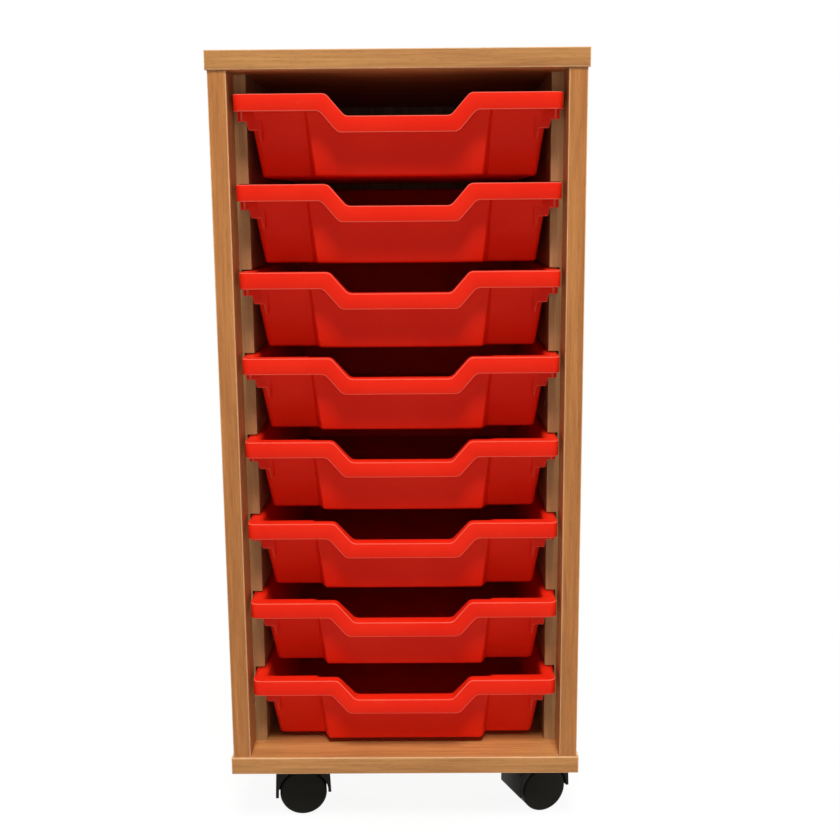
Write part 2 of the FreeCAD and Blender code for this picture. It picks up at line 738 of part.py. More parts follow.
def add_tray_front(body):
    """The front rim: a face with a finger dip, its top, and its ends."""
    run = "(dip_depth / tan(dip_slope * 1 deg))"
    shoulder = "(dip_half_width + %s)" % run
    half = "(tray_width / 2)"
    dip_foot = "(dip_depth + dip_rim_height)"
    under_run = "((%s - rim_height) / tan(dip_slope * 1 deg))" % dip_foot
    under_shoulder = "(dip_under_half_width + %s)" % under_run

    dip = new_sketch(body, "XZ_Plane")
    draw_outline(dip, [
        ("-%s" % shoulder, "0"), ("-dip_half_width", "-dip_depth"),
        ("dip_half_width", "-dip_depth"), (shoulder, "0"),
        (shoulder, "rim_wall"), ("-%s" % shoulder, "rim_wall")])
    extrude(body, "Pocket", dip, "2 * rim_depth", backwards=False)

    face = new_sketch(body, "XZ_Plane")
    draw_outline(face, [
        ("-" + half, "0"), ("-" + shoulder, "0"), ("-dip_half_width", "-dip_depth"),
        ("dip_half_width", "-dip_depth"), (shoulder, "0"), (half, "0"),
        (half, "-rim_height"), (under_shoulder, "-rim_height"),
        ("dip_under_half_width", "-" + dip_foot), ("-dip_under_half_width", "-" + dip_foot),
        ("-" + under_shoulder, "-rim_height"), ("-" + half, "-rim_height")])
    extrude(body, "Pad", face, "rim_wall", backwards=True)

    shift = dip_corner_shift()
    band = new_sketch(body, "XZ_Plane")
    draw_outline(band, [
        ("-" + half, "0"), ("-" + shoulder, "0"), ("-dip_half_width", "-dip_depth"),
        ("dip_half_width", "-dip_depth"), (shoulder, "0"), (half, "0"),
        (half, "-rim_height"), (half + " - rim_wall", "-rim_height"),
        (half + " - rim_wall", "-rim_wall"), ("%s + %s" % (shoulder, shift), "-rim_wall"),
        ("dip_half_width + " + shift, "-dip_depth - rim_wall"),
        ("-dip_half_width - " + shift, "-dip_depth - rim_wall"),
        ("-%s - %s" % (shoulder, shift), "-rim_wall"), ("-%s + rim_wall" % half, "-rim_wall"),
        ("-%s + rim_wall" % half, "-rim_height")])
    extrude(body, "Pad", band, "rim_depth", backwards=True)


def round_tray_rim(body):
    """Rounds the rim's plan corners and the bends of the finger dip."""
    half = value("tray_width / 2")

    def is_rim_corner(edge):
        across, along, _ = spans(edge)
        return (across < SAME and along < SAME and near(abs(edge.CenterOfMass.x), half)
                and (near(edge.CenterOfMass.y, 0) or
                     near(edge.CenterOfMass.y, value("tray_length"))))

    round_edges(body, "rim_corner", is_rim_corner)

    bends = [value("dip_half_width"), value("dip_half_width + dip_depth / tan(dip_slope * 1 deg)")]
    under = [value("dip_under_half_width"),
             value("dip_under_half_width + (dip_depth + dip_rim_height - rim_height)"
                   " / tan(dip_slope * 1 deg)")]

    def is_bend(edge):
        across, along, up = spans(edge)
        middle = edge.CenterOfMass
        if across > SAME or up > SAME or edge.BoundBox.YMin > SAME:
            return False
        on_top = middle.z > -value("dip_depth + rim_wall / 2")
        return any(near(abs(middle.x), bend) for bend in (bends if on_top else under)) or \
            near(abs(middle.x), under[1])

    round_edges(body, "dip_corner", is_bend)


def make_tray_master():
    body = make_tray_block("tray_master", "0", "tray_height")
    underside = -value("tray_height")
    round_edges(body, "floor_corner", lambda edge: near(edge.BoundBox.ZMin, underside)
                and near(edge.BoundBox.ZMax, underside))
    add_tray_flange(body)
    add_tray_stops(body)
    cut_tray_inside(body)
    add_tray_front(body)
    round_tray_rim(body)
    return body


# ------------------------------------------------------------------------------ castors
def make_plate_master():
    """The castor's plate under the base board, Z = 0 at the board."""
    body = new_body("castor_plate_master")
    outline = new_sketch(body, "XY_Plane")
    draw_rectangle(outline, "-plate_width / 2", "-plate_width / 2",
                   "plate_width / 2", "plate_width / 2")
    extrude(body, "Pad", outline, "plate_thickness", backwards=True)
    round_edges(body, "plate_corner", lambda edge: spans(edge)[2] > SAME)
    holes = new_sketch(body, "XY_Plane")
    draw_circle(holes, "0", "0", "king_pin_radius")
    for across, along in plate_hole_spots():
        draw_circle(holes, across, along, "plate_hole_radius")
    extrude(body, "Pocket", holes, "plate_thickness")
    return body


def plate_hole_spots():
    return [("%splate_hole_spread / 2" % side, "%splate_hole_spread / 2" % end)
            for side in ("-", "") for end in ("-", "")]


def make_king_pin_master():
    body = new_body("king_pin_master")
    profile = new_sketch(body, "XZ_Plane")
    collar_foot = "-plate_thickness - king_collar_height"
    draw_outline(profile, [
        ("0", "0"), ("king_pin_radius", "0"), ("king_pin_radius", "-plate_thickness"),
        ("king_collar_radius", "-plate_thickness"), ("king_collar_radius", collar_foot),
        ("king_pin_radius", collar_foot), ("king_pin_radius", "-king_pin_reach"),
        ("0", "-king_pin_reach")])
    revolve(body, profile)
    return body


def make_hood_master():
    """The moulded hood: a shell over both wheels with a web between them."""
    body = new_body("castor_hood_master")
    middle = "castor_trail"
    profile = new_sketch(body, "XZ_Plane")
    draw_outline(profile, [
        (middle + " - hood_half_length", "-%s - hood_long_leg" % AXLE_DROP),
        (middle + " - hood_half_length", "-%s - hood_short_leg" % AXLE_DROP),
        (middle + " - hood_shoulder_half", "-%s + hood_shoulder_height" % AXLE_DROP),
        (middle + " - hood_top_half", "-%s + hood_rise" % AXLE_DROP),
        (middle + " + hood_top_half", "-%s + hood_rise" % AXLE_DROP),
        (middle + " + hood_shoulder_half", "-%s + hood_shoulder_height" % AXLE_DROP),
        (middle + " + hood_half_length", "-%s - hood_short_leg" % AXLE_DROP),
        (middle + " + wheel_radius / 2", "-%s - hood_short_leg" % AXLE_DROP),
        (middle + " + wheel_radius / 2", "-%s - hood_long_leg" % AXLE_DROP)])
    extrude(body, "Pad", profile, "2 * wheel_outer", both_ways=True)

    boss = new_sketch(body, "XY_Plane", "-hood_boss_drop")
    draw_circle(boss, "0", "0", "hood_boss_radius")
    boss_head = "(plate_thickness + king_collar_height + swivel_gap)"
    extrude(body, "Pad", boss, "hood_boss_drop - " + boss_head)

    def is_shoulder(edge):
        across, _, up = spans(edge)
        return (across < SAME and up < SAME
                and edge.CenterOfMass.z > -value(AXLE_DROP) + value("hood_shoulder_height") - SAME
                and edge.BoundBox.YLength > value("wheel_outer"))

    round_edges(body, "hood_rise - hood_shoulder_height", is_shoulder)

    inner = "(wheel_radius + hood_wheel_gap)"
    for direction in ("", "-"):
        wheel_room = new_sketch(body, "XZ_Plane", "%swheel_outer" % direction)
        draw_arch(wheel_room, middle, "-" + AXLE_DROP, inner,
                  "-%s - 2 * hood_long_leg" % AXLE_DROP)
        extrude(body, "Pocket", wheel_room, "wheel_outer - hood_web / 2",
                backwards=direction == "-")

    pin_room = new_sketch(body, "XY_Plane", "-" + boss_head)
    draw_circle(pin_room, "0", "0", "king_pin_radius + running_fit")
    extrude(body, "Pocket", pin_room, "king_pin_reach + swivel_gap - " + boss_head)
    axle_room = new_sketch(body, "XZ_Plane", "wheel_outer")
    draw_circle(axle_room, middle, "-" + AXLE_DROP, "axle_radius")
    extrude(body, "Pocket", axle_room, "2 * wheel_outer")
    return body


def make_wheel_master():
    """One wheel, its axle along Y through the origin, its disc towards +Y."""
    body = new_body("castor_wheel_master")
    inner_face = "(hood_web / 2 + wheel_gap)"
    disc_face = "(wheel_outer - wheel_disc)"
    bore_end = "(axle_half_length + wheel_gap)"
    bore = "(axle_radius + running_fit)"
    profile = new_sketch(body, "XY_Plane")
    draw_outline(profile, [
        (bore, inner_face), ("wheel_hub_radius", inner_face), ("wheel_hub_radius", disc_face),
        ("wheel_radius - wheel_rim", disc_face), ("wheel_radius - wheel_rim", inner_face),
        ("wheel_radius", inner_face), ("wheel_radius", "wheel_outer - wheel_bevel"),
        ("wheel_radius - wheel_bevel", "wheel_outer"), ("0", "wheel_outer"),
        ("0", bore_end), (bore, bore_end)])
    revolve(body, profile)
    return body


def make_axle_master():
    """The axle pin, from its middle on the origin, along Y."""
    body = new_body("castor_axle_master")
    outline = new_sketch(body, "XZ_Plane")
    draw_circle(outline, "0", "0", "axle_radius")
    extrude(body, "Pad", outline, "2 * axle_half_length", both_ways=True)
    return body


def castor_spots():
    """Each castor's name, the place of its swivel axis, and its turn."""
    across = "(%s / 2 - castor_inset_x)" % CARCASE_WIDTH
    along = "(carcase_depth / 2 - castor_inset_y)"
    return [("front_left", "-" + across, "-" + along, "front_left_turn_angle"),
            ("front_right", across, "-" + along, "front_right_turn_angle"),
            ("back_left", "-" + across, along, "back_left_turn_angle"),
            ("back_right", across, along, "back_right_turn_angle")]


def make_castors():
    plate = make_plate_master()
    king_pin = make_king_pin_master()
    hood = make_hood_master()
    wheel = make_wheel_master()
    axle = make_axle_master()
    pieces = []
    screws = []
    for name, across, along, turn in castor_spots():
        axle_across = "%s + castor_trail * cos(%s * 1 deg)" % (across, turn)
        axle_along = "%s + castor_trail * sin(%s * 1 deg)" % (along, turn)
        pieces += [
            copy_of(plate, name + "_castor_plate", across=across, along=along,
                    up="castor_height"),
            copy_of(king_pin, name + "_king_pin", across=across, along=along,
                    up="castor_height"),
            copy_of(hood, name + "_castor_hood", across=across, along=along,
                    up="castor_height", turn=turn),
            copy_of(axle, name + "_castor_axle", across=axle_across, along=axle_along,
                    up="wheel_radius", turn=turn),
            copy_of(wheel, name + "_outer_wheel", across=axle_across, along=axle_along,
                    up="wheel_radius", turn=turn + " + 180"),
            copy_of(wheel, name + "_inner_wheel", across=axle_across, along=axle_along,
                    up="wheel_radius", turn=turn)]
        for hole_across, hole_along in plate_hole_spots():
            screw = make_screw("castor_screw_head", "castor_screw_head_height",
                               "castor_screw_length + plate_thickness", flat_head=False)
            place(screw, "%s + %s" % (across, hole_across), "%s + %s" % (along, hole_along),
                  "castor_height - plate_thickness")
            screws.append(screw)
    return pieces, screws


def drill_base(board, screws):
    """Takes the castor screws' own holes out of the base board."""
    drilled = doc.addObject("Part::Cut", "base_panel")
    drilled.Base = board
    drilled.Tool = group("castor_screws", screws)
    return [drilled, drilled.Tool]


# ----------------------------------------------------------------------------- assembly
def build():
    top = make_lid("top_panel", SIDE_FOOT + " + " + SIDE_HEIGHT, inner_face_up=False)
    base_board = make_lid("base_board", "castor_height", inner_face_up=True)
    nodes = [top, make_back(), make_back_screws(), make_dowels()] + make_edgings()
    for name, side in (("left", -1), ("right", 1)):
        nodes.append(make_side(name + "_side_panel", side))
        nodes.append(make_runner(name + "_runner_panel", side))
    nodes.append(make_runner_screws())

    tray = make_tray_master()
    for number in range(1, int(value("tray_count")) + 1):
        nodes.append(copy_of(tray, "tray_%d" % number, along=FRONT + " + tray_setback",
                             up="%s + (tray_count - %d) * tray_pitch" % (LOWEST_RIM, number)))

    castors, castor_screws = make_castors()
    nodes += castors
    nodes += drill_base(base_board, castor_screws)
    return nodes


nodes = build()
doc.recompute()

for item in doc.Objects:
    if "Invalid" in item.State or "Error" in item.State:
        raise ValueError("%s failed to recompute" % item.Label)
os.makedirs("parts", exist_ok=True)
for node in nodes:
    if node.Shape.isNull() or not node.Shape.isValid():
        raise ValueError("%s has no valid shape" % node.Label)
    node.Shape.exportStep("parts/%s.step" % node.Label)
print("%d nodes" % len(nodes))
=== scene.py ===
# %% [markdown]
# # A classroom tray storage unit
# A wooden carcase on four twin-wheel castors holds eight shallow red trays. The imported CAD
# model fixes every size and place, so nothing here is measured by eye: each new piece is
# laid on the numbers that the CAD piece was drawn with, and takes its place in the scene.
# Those numbers are in millimetres, and Blender works in metres.

# %% Load the CAD model
import math

import bmesh
import bpy
from mathutils import Matrix, Vector


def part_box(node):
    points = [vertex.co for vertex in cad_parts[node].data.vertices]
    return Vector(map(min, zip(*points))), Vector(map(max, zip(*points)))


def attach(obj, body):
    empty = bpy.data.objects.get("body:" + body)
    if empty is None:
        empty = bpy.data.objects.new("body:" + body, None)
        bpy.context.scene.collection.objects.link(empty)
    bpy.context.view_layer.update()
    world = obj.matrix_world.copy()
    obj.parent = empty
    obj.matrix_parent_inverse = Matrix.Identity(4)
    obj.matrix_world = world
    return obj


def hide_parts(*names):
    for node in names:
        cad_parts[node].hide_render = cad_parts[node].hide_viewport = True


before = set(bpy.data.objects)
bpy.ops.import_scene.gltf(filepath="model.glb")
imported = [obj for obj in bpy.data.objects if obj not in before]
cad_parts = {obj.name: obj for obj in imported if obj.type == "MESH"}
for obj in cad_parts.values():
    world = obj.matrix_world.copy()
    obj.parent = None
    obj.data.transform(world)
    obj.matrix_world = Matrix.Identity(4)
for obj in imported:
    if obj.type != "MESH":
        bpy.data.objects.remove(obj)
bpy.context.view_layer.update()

MM = 0.001

# %% [markdown]
# ## Camera
# A product picture of a tall narrow unit is taken from the front, a little above the top
# tray, with a normal lens so that the uprights stay nearly upright. The camera could be
# aimed by a Track To constraint, but the exact view is easier to keep as three angles,
# from which the camera's own axes are worked out and written into its matrix.

# %% Camera
CAMERA_PLACE = Vector((27.0, -1353.0, 646.0)) * MM
CAMERA_PITCH = math.radians(10.47)
CAMERA_YAW = math.radians(-0.43)
CAMERA_ROLL = math.radians(-0.46)
CAMERA_LENS = 50.14

ahead = Vector((math.sin(CAMERA_YAW) * math.cos(CAMERA_PITCH),
                math.cos(CAMERA_YAW) * math.cos(CAMERA_PITCH), -math.sin(CAMERA_PITCH)))
level = Vector((math.cos(CAMERA_YAW), -math.sin(CAMERA_YAW), 0))
upward = level.cross(ahead)
right = level * math.cos(CAMERA_ROLL) + upward * math.sin(CAMERA_ROLL)
upward = upward * math.cos(CAMERA_ROLL) - level * math.sin(CAMERA_ROLL)
bpy.ops.object.select_all(action="DESELECT")
bpy.ops.object.camera_add()
camera = bpy.context.object
camera.name = "camera"
camera.data.lens = CAMERA_LENS
camera.matrix_world = Matrix.Translation(CAMERA_PLACE) @ Matrix(
    (right, upward, -ahead)).transposed().to_4x4()
bpy.context.scene.camera = camera
print("camera at", [round(value, 3) for value in camera.location])

# %% [markdown]
# ## Helpers for modelling
# Operators act on whatever is selected, so a piece is always made the only selected and
# active object first. A finished piece keeps its place in its mesh, as the CAD nodes do,
# and the last helper writes that place, its body and its material in one go, and hides
# the CAD nodes it stands for.

# %% Selecting and finishing
MOULDING_SMOOTH = 32


def alone(piece):
    """Makes the piece the only selected object, and the active one."""
    bpy.ops.object.select_all(action="DESELECT")
    piece.select_set(True)
    bpy.context.view_layer.objects.active = piece
    return piece


def edit(piece, kind="VERT"):
    alone(piece)
    bpy.ops.object.mode_set(mode="EDIT")
    bpy.ops.mesh.select_mode(type=kind)


def leave_edit():
    bpy.ops.object.mode_set(mode="OBJECT")


def apply_modifier(piece, kind, **settings):
    alone(piece)
    modifier = piece.modifiers.new(kind.lower(), kind)
    for name, setting in settings.items():
        setattr(modifier, name, setting)
    bpy.ops.object.modifier_apply(modifier=modifier.name)


def smooth(piece, degrees):
    alone(piece)
    bpy.ops.object.shade_smooth_by_angle(angle=math.radians(degrees))


def finish_piece(piece, body, material, replaced=()):
    """Gives a piece its material and its body, and hides the CAD nodes it stands for."""
    alone(piece)
    bpy.ops.object.transform_apply(location=True, rotation=True, scale=True)
    piece.data.materials.clear()
    piece.data.materials.append(material)
    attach(piece, body)
    if replaced:
        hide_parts(*replaced)


def size_of(piece):
    return [round(side / MM, 1) for side in piece.dimensions]


print("modelling helpers ready")

# %% [markdown]
# A moulding or a board edge shows itself by its arris, the narrow rounded edge that
# catches the light; the materials paint that light on it as a pale highlight. A Bevel
# node could find it, but the exported model loses that, so the mesh itself remembers it.
# A face lies on an arris where two of its edges turn outwards close together; it keeps
# how sharply they turn on its corners, and the materials read that.

# %% Marking the arrises
ARRIS_WIDTH = 1.3 * MM
ARRIS_TURN = math.radians(30)
LEAST_TURN = math.radians(10)


def arris_of(face):
    """How sharply a face turns, from 0 on a flat to 1 on an arris."""
    turning = [(edge.calc_face_angle_signed(0), (edge.verts[0].co + edge.verts[1].co) / 2)
               for edge in face.edges if len(edge.link_faces) == 2]
    turning = [(turn, middle) for turn, middle in turning if turn > LEAST_TURN]
    sharpest = 0
    for number, (turn, middle) in enumerate(turning):
        for other, place in turning[number + 1:]:
            if (middle - place).length < ARRIS_WIDTH:
                sharpest = max(sharpest, min(turn, other))
    return min(1, sharpest / ARRIS_TURN)


def mark_arrises(piece, passes=lambda middle: True):
    """Marks the arrises, where the materials paint a highlight, among the faces whose middle
    passes the test.
    """
    mesh = bmesh.new()
    mesh.from_mesh(piece.data)
    layer = mesh.loops.layers.float.new("arris")
    for face in mesh.faces:
        arris = arris_of(face) if passes(face.calc_center_median()) else 0
        for loop in face.loops:
            loop[layer] = arris
    mesh.to_mesh(piece.data)
    mesh.free()


print("an arris is narrower than", ARRIS_WIDTH / MM, "mm")

# %% [markdown]
# ## Helpers for materials
# A material is a small graph of nodes. These helpers add a node, set its sockets and link
# it in one line. A socket's setting may be a plain value or another node's output.

# %% Node helpers
def add_node(tree, kind, settings=None, **sockets):
    """Adds a node; settings are its own fields, sockets its inputs by name."""
    node = tree.nodes.new(kind)
    for name, setting in (settings or {}).items():
        setattr(node, name, setting)
    for name, value in sockets.items():
        put(tree, node.inputs[name.replace("_", " ")], value)
    return node


def put(tree, socket, value):
    if isinstance(value, bpy.types.NodeSocket):
        tree.links.new(value, socket)
    else:
        socket.default_value = value


def add_math(tree, operation, *values):
    node = add_node(tree, "ShaderNodeMath", {"operation": operation})
    for socket, value in zip(node.inputs, values):
        put(tree, socket, value)
    return node.outputs[0]


def add_mix(tree, factor, first, second):
    """Mixes two colours."""
    node = add_node(tree, "ShaderNodeMix", {"data_type": "RGBA"})
    for socket, value in ((node.inputs[0], factor), (node.inputs[6], first),
                          (node.inputs[7], second)):
        put(tree, socket, value)
    return node.outputs[2]


def add_range(tree, value, low, high, to_low=0.0, to_high=1.0):
    node = add_node(tree, "ShaderNodeMapRange", Value=value, From_Min=low, From_Max=high,
                    To_Min=to_low, To_Max=to_high)
    return node.outputs[0]


def add_noise(tree, vector, scale, detail, roughness, stretch=(1, 1, 1)):
    """Noise, stretched along one axis where stretch is small."""
    stretched = add_node(tree, "ShaderNodeMapping", Vector=vector, Scale=stretch)
    noise = add_node(tree, "ShaderNodeTexNoise", Vector=stretched.outputs[0], Scale=scale,
                     Detail=detail, Roughness=roughness)
    return noise.outputs["Fac"]


def new_group(name, inputs, outputs):
    """A node group with named inputs (name, kind, start value) and outputs (name, kind)."""
    group = bpy.data.node_groups.new(name, "ShaderNodeTree")
    for label, kind, start in inputs:
        socket = group.interface.new_socket(label, in_out="INPUT", socket_type=kind)
        if start is not None:
            socket.default_value = start
    for label, kind in outputs:
        group.interface.new_socket(label, in_out="OUTPUT", socket_type=kind)
    return group, group.nodes.new("NodeGroupInput"), group.nodes.new("NodeGroupOutput")


def new_material(name):
    material = bpy.data.materials.new(name)
    material.use_nodes = True
    return material, material.node_tree, material.node_tree.nodes["Principled BSDF"]


def place_group(tree, group, **sockets):
    node = tree.nodes.new("ShaderNodeGroup")
    node.node_tree = group
    for name, value in sockets.items():
        put(tree, node.inputs[name.replace("_", " ")], value)
    return node


def object_coordinates(tree, rotation=(0, 0, 0), shift=(0, 0, 0)):
    coordinates = add_node(tree, "ShaderNodeTexCoord").outputs["Object"]
    return add_node(tree, "ShaderNodeMapping", Vector=coordinates, Rotation=rotation,
                    Location=shift).outputs[0]


def add_bump(tree, height, strength, distance):
    return add_node(tree, "ShaderNodeBump", Height=height, Strength=strength,
                    Distance=distance).outputs[0]


print("node helpers ready")

# %% [markdown]
# ## Shared effect: beech grain
# Beech has a calm, straight grain: soft bands a few millimetres wide, long streaks and fine
# fibres inside them, and many short faint flecks along the grain. Both the faced boards and
# the edging strips show it. A wood picture would repeat and would need unwrapping; a few
# noises, stretched along the group's own X axis, follow any piece and never repeat.

# %% Beech grain group
def make_beech_grain():
    group, given, result = new_group(
        "beech grain", [("Vector", "NodeSocketVector", None)],
        [("Tone", "NodeSocketFloat"), ("Fleck", "NodeSocketFloat"),
         ("Height", "NodeSocketFloat")])
    vector = given.outputs["Vector"]
    bands = add_noise(group, vector, 1.0, 3.0, 0.55, (5, 80, 80))
    streaks = add_noise(group, vector, 1.0, 2.0, 0.5, (12, 330, 330))
    fibres = add_noise(group, vector, 1.0, 2.0, 0.6, (35, 900, 900))
    fleck_noise = add_noise(group, vector, 1.0, 1.0, 0.4, (130, 1500, 1500))
    flecks = add_range(group, fleck_noise, 0.62, 0.72)
    tone = add_math(group, "ADD", add_math(group, "MULTIPLY", bands, 0.35),
                    add_math(group, "MULTIPLY", streaks, 0.40))
    tone = add_math(group, "ADD", tone, add_math(group, "MULTIPLY", fibres, 0.25))
    tone = add_range(group, tone, 0.36, 0.64)
    height = add_math(group, "SUBTRACT", fibres, add_math(group, "MULTIPLY", flecks, 0.5))
    put(group, result.inputs["Tone"], tone)
    put(group, result.inputs["Fleck"], flecks)
    put(group, result.inputs["Height"], height)
    return group


beech_grain = make_beech_grain()
print("node group:", beech_grain.name)

# %% [markdown]
# ## Shared effect: painted arris highlight
# The pale line where an arris catches the light is painted as a highlight, and it is
# uneven along its length. The group takes the value that the mesh carries and breaks it
# up with noise.

# %% Painted arris highlight group
def make_arris_highlight_group():
    group, given, result = new_group(
        "painted arris highlight",
        [("Arris", "NodeSocketFloat", 0.0), ("Vector", "NodeSocketVector", None),
         ("Evenness", "NodeSocketFloat", 0.7)],
        [("Mask", "NodeSocketFloat")])
    patches = add_range(group, add_noise(group, given.outputs["Vector"], 60.0, 3.0, 0.6),
                        0.35, 0.65)
    kept = add_math(group, "MAXIMUM", patches, given.outputs["Evenness"])
    put(group, result.inputs["Mask"],
        add_math(group, "MULTIPLY", given.outputs["Arris"], kept))
    return group


arris_highlight_group = make_arris_highlight_group()


# The share of a face that the painted arris highlight covers.
def arris_highlight_mask(tree, vector, evenness):
    carried = add_node(tree, "ShaderNodeAttribute", {"attribute_name": "arris"})
    return place_group(tree, arris_highlight_group, Arris=carried.outputs["Fac"], Vector=vector,
                       Evenness=evenness).outputs["Mask"]


print("node group:", arris_highlight_group.name)

# %% [markdown]
# ## Shared effect: moulded surface
# Injection-moulded plastic is never quite even: the colour drifts slowly, the steel of the
# mould leaves a fine spark-eroded texture, and use adds faint scuffs. Trays and castors
# share the effect at different strengths.

# %% Moulded surface group
def make_moulded_surface():
    group, given, result = new_group(
        "moulded surface", [("Vector", "NodeSocketVector", None)],
        [("Drift", "NodeSocketFloat"), ("Scuffs", "NodeSocketFloat"),
         ("Height", "NodeSocketFloat")])
    vector = given.outputs["Vector"]
    drift = add_range(group, add_noise(group, vector, 14.0, 2.0, 0.5), 0.3, 0.7)
    scuff_noise = add_noise(group, vector, 1.0, 4.0, 0.7, (30, 190, 120))
    scuffs = add_range(group, scuff_noise, 0.60, 0.74)
    spark = add_noise(group, vector, 1600.0, 2.0, 0.6)
    put(group, result.inputs["Drift"], drift)
    put(group, result.inputs["Scuffs"], scuffs)
    put(group, result.inputs["Height"], spark)
    return group


moulded_surface = make_moulded_surface()
print("node group:", moulded_surface.name)

# %% [markdown]
# ## Beech finishes
# The boards are chipboard faced with a beech-patterned laminate, and their front edges are
# lipped. The pattern runs up the sides, across the top and base, and along each strip, so
# one function makes the finish for any direction of grain. Laminate has a soft sheen, and
# its flecks are printed, so the bump stays shallow.

# %% Beech materials
GRAIN_TURNS = {"x": (0, 0, 0), "y": (0, 0, math.radians(90)), "z": (0, math.radians(90), 0)}
# Each finish is a darkest and a lightest tone.
FACING = ((0.375, 0.155, 0.044), (0.58, 0.275, 0.088))
# The level boards take a lighter, redder copy of the facing: painted light, for the stronger
# top light and the red bounce from the trays on level faces.
LEVEL_FACING_WITH_PAINTED_LIGHT = ((0.42, 0.168, 0.048), (0.65, 0.295, 0.095))
UPRIGHT_STRIP = ((0.35, 0.124, 0.031), (0.545, 0.222, 0.062))
RUNNER_FACING = ((0.37, 0.20, 0.078), (0.50, 0.295, 0.122))
# The back is brown hardboard, made darker still as painted shade for the deep inside of the
# unit.
BACK_HARDBOARD_AND_PAINTED_SHADE = ((0.17, 0.08, 0.034), (0.26, 0.13, 0.058))
RAW_BEECH = ((0.45, 0.24, 0.10), (0.62, 0.36, 0.17))
# Painted highlight: the pale colour of a lit arris, and how strongly the strips get it.
BEECH_HIGHLIGHT_COLOUR = (0.95, 0.62, 0.34, 1)
STRIP_HIGHLIGHT = 0.8
FLECK_SHADE = 0.5
FLECK_STRENGTH = 0.28
LAMINATE_GLOSS = 0.25


def make_beech(name, along, tones, rough=0.42, shift=(0, 0, 0), arris=0.0):
    """A beech finish; along is the axis its grain follows."""
    material, tree, shader = new_material(name)
    vector = object_coordinates(tree, GRAIN_TURNS[along], shift)
    grain = place_group(tree, beech_grain, Vector=vector)
    dark, light = tones
    colour = add_mix(tree, grain.outputs["Tone"], (*dark, 1), (*light, 1))
    fleck_colour = tuple(value * FLECK_SHADE for value in dark) + (1,)
    fleck = add_math(tree, "MULTIPLY", grain.outputs["Fleck"], FLECK_STRENGTH)
    colour = add_mix(tree, fleck, colour, fleck_colour)
    # Painted highlight on the arrises of the edging strips.
    if arris:
        mask = add_math(tree, "MULTIPLY", arris_highlight_mask(tree, vector, 0.75), arris)
        colour = add_mix(tree, mask, colour, BEECH_HIGHLIGHT_COLOUR)
    put(tree, shader.inputs["Base Color"], colour)
    put(tree, shader.inputs["Roughness"],
        add_range(tree, grain.outputs["Tone"], 0, 1, rough + 0.06, rough - 0.04))
    put(tree, shader.inputs["Normal"],
        add_bump(tree, grain.outputs["Height"], 0.18, 0.0002))
    shader.inputs["Specular IOR Level"].default_value = LAMINATE_GLOSS
    return material


# Top and base get the facing with painted light.
board_across = make_beech("beech_board_across", "x", LEVEL_FACING_WITH_PAINTED_LIGHT)
board_up = make_beech("beech_board_up", "z", FACING, shift=(0.3, 0.1, 0))
edging_across = make_beech("beech_edging_across", "x", FACING, arris=STRIP_HIGHLIGHT)
edging_along = make_beech("beech_edging_along", "y", FACING, arris=STRIP_HIGHLIGHT)
edging_up = make_beech("beech_edging_up", "z", UPRIGHT_STRIP, arris=STRIP_HIGHLIGHT)
runner_finish = make_beech("runner_board", "z", RUNNER_FACING, rough=0.5)
# The back panel's finish holds painted shade on top of its brown.
back_finish_and_shade = make_beech("back_board", "z", BACK_HARDBOARD_AND_PAINTED_SHADE, rough=0.5)
dowel_finish = make_beech("dowel_beech", "z", RAW_BEECH, rough=0.6)
print("beech finishes ready")

# %% [markdown]
# ## Plastics and steel
# The trays are a bright red polypropylene with a satin gloss. Real polypropylene lets
# light in a little, which keeps its shaded parts a warm, deep red; the material here has
# no such translucency. The castors are black nylon, duller, with dust toned scuffs. The
# screws and pins are zinc plated, which is a mottled, pale metal.

# %% Plastic and steel materials
def make_plastic(name, colour, deeper, highlight_and_scuff_colour, rough, arris, scuff, gloss):
    """A moulded plastic; gloss is its specular level."""
    material, tree, shader = new_material(name)
    vector = object_coordinates(tree)
    surface = place_group(tree, moulded_surface, Vector=vector)
    tone = add_mix(tree, surface.outputs["Drift"], (*colour, 1), (*deeper, 1))
    # Painted highlight on the arrises, in the pale colour that the real scuffs share.
    mask = add_math(tree, "MULTIPLY", arris_highlight_mask(tree, vector, 0.8), arris)
    tone = add_mix(tree, mask, tone, (*highlight_and_scuff_colour, 1))
    scuffed = add_math(tree, "MULTIPLY", surface.outputs["Scuffs"], scuff)
    put(tree, shader.inputs["Base Color"], add_mix(tree, scuffed, tone, (*highlight_and_scuff_colour, 1)))
    put(tree, shader.inputs["Roughness"],
        add_math(tree, "ADD", rough, add_math(tree, "MULTIPLY", scuffed, 0.4)))
    put(tree, shader.inputs["Normal"],
        add_bump(tree, surface.outputs["Height"], 0.10, 0.0001))
    shader.inputs["Specular IOR Level"].default_value = gloss
    return material


def make_steel(name):
    material, tree, shader = new_material(name)
    vector = object_coordinates(tree)
    mottle = add_noise(tree, vector, 400.0, 3.0, 0.6)
    put(tree, shader.inputs["Base Color"],
        add_mix(tree, mottle, (0.55, 0.56, 0.57, 1), (0.75, 0.76, 0.77, 1)))
    put(tree, shader.inputs["Roughness"], add_range(tree, mottle, 0, 1, 0.28, 0.45))
    shader.inputs["Metallic"].default_value = 1.0
    return material


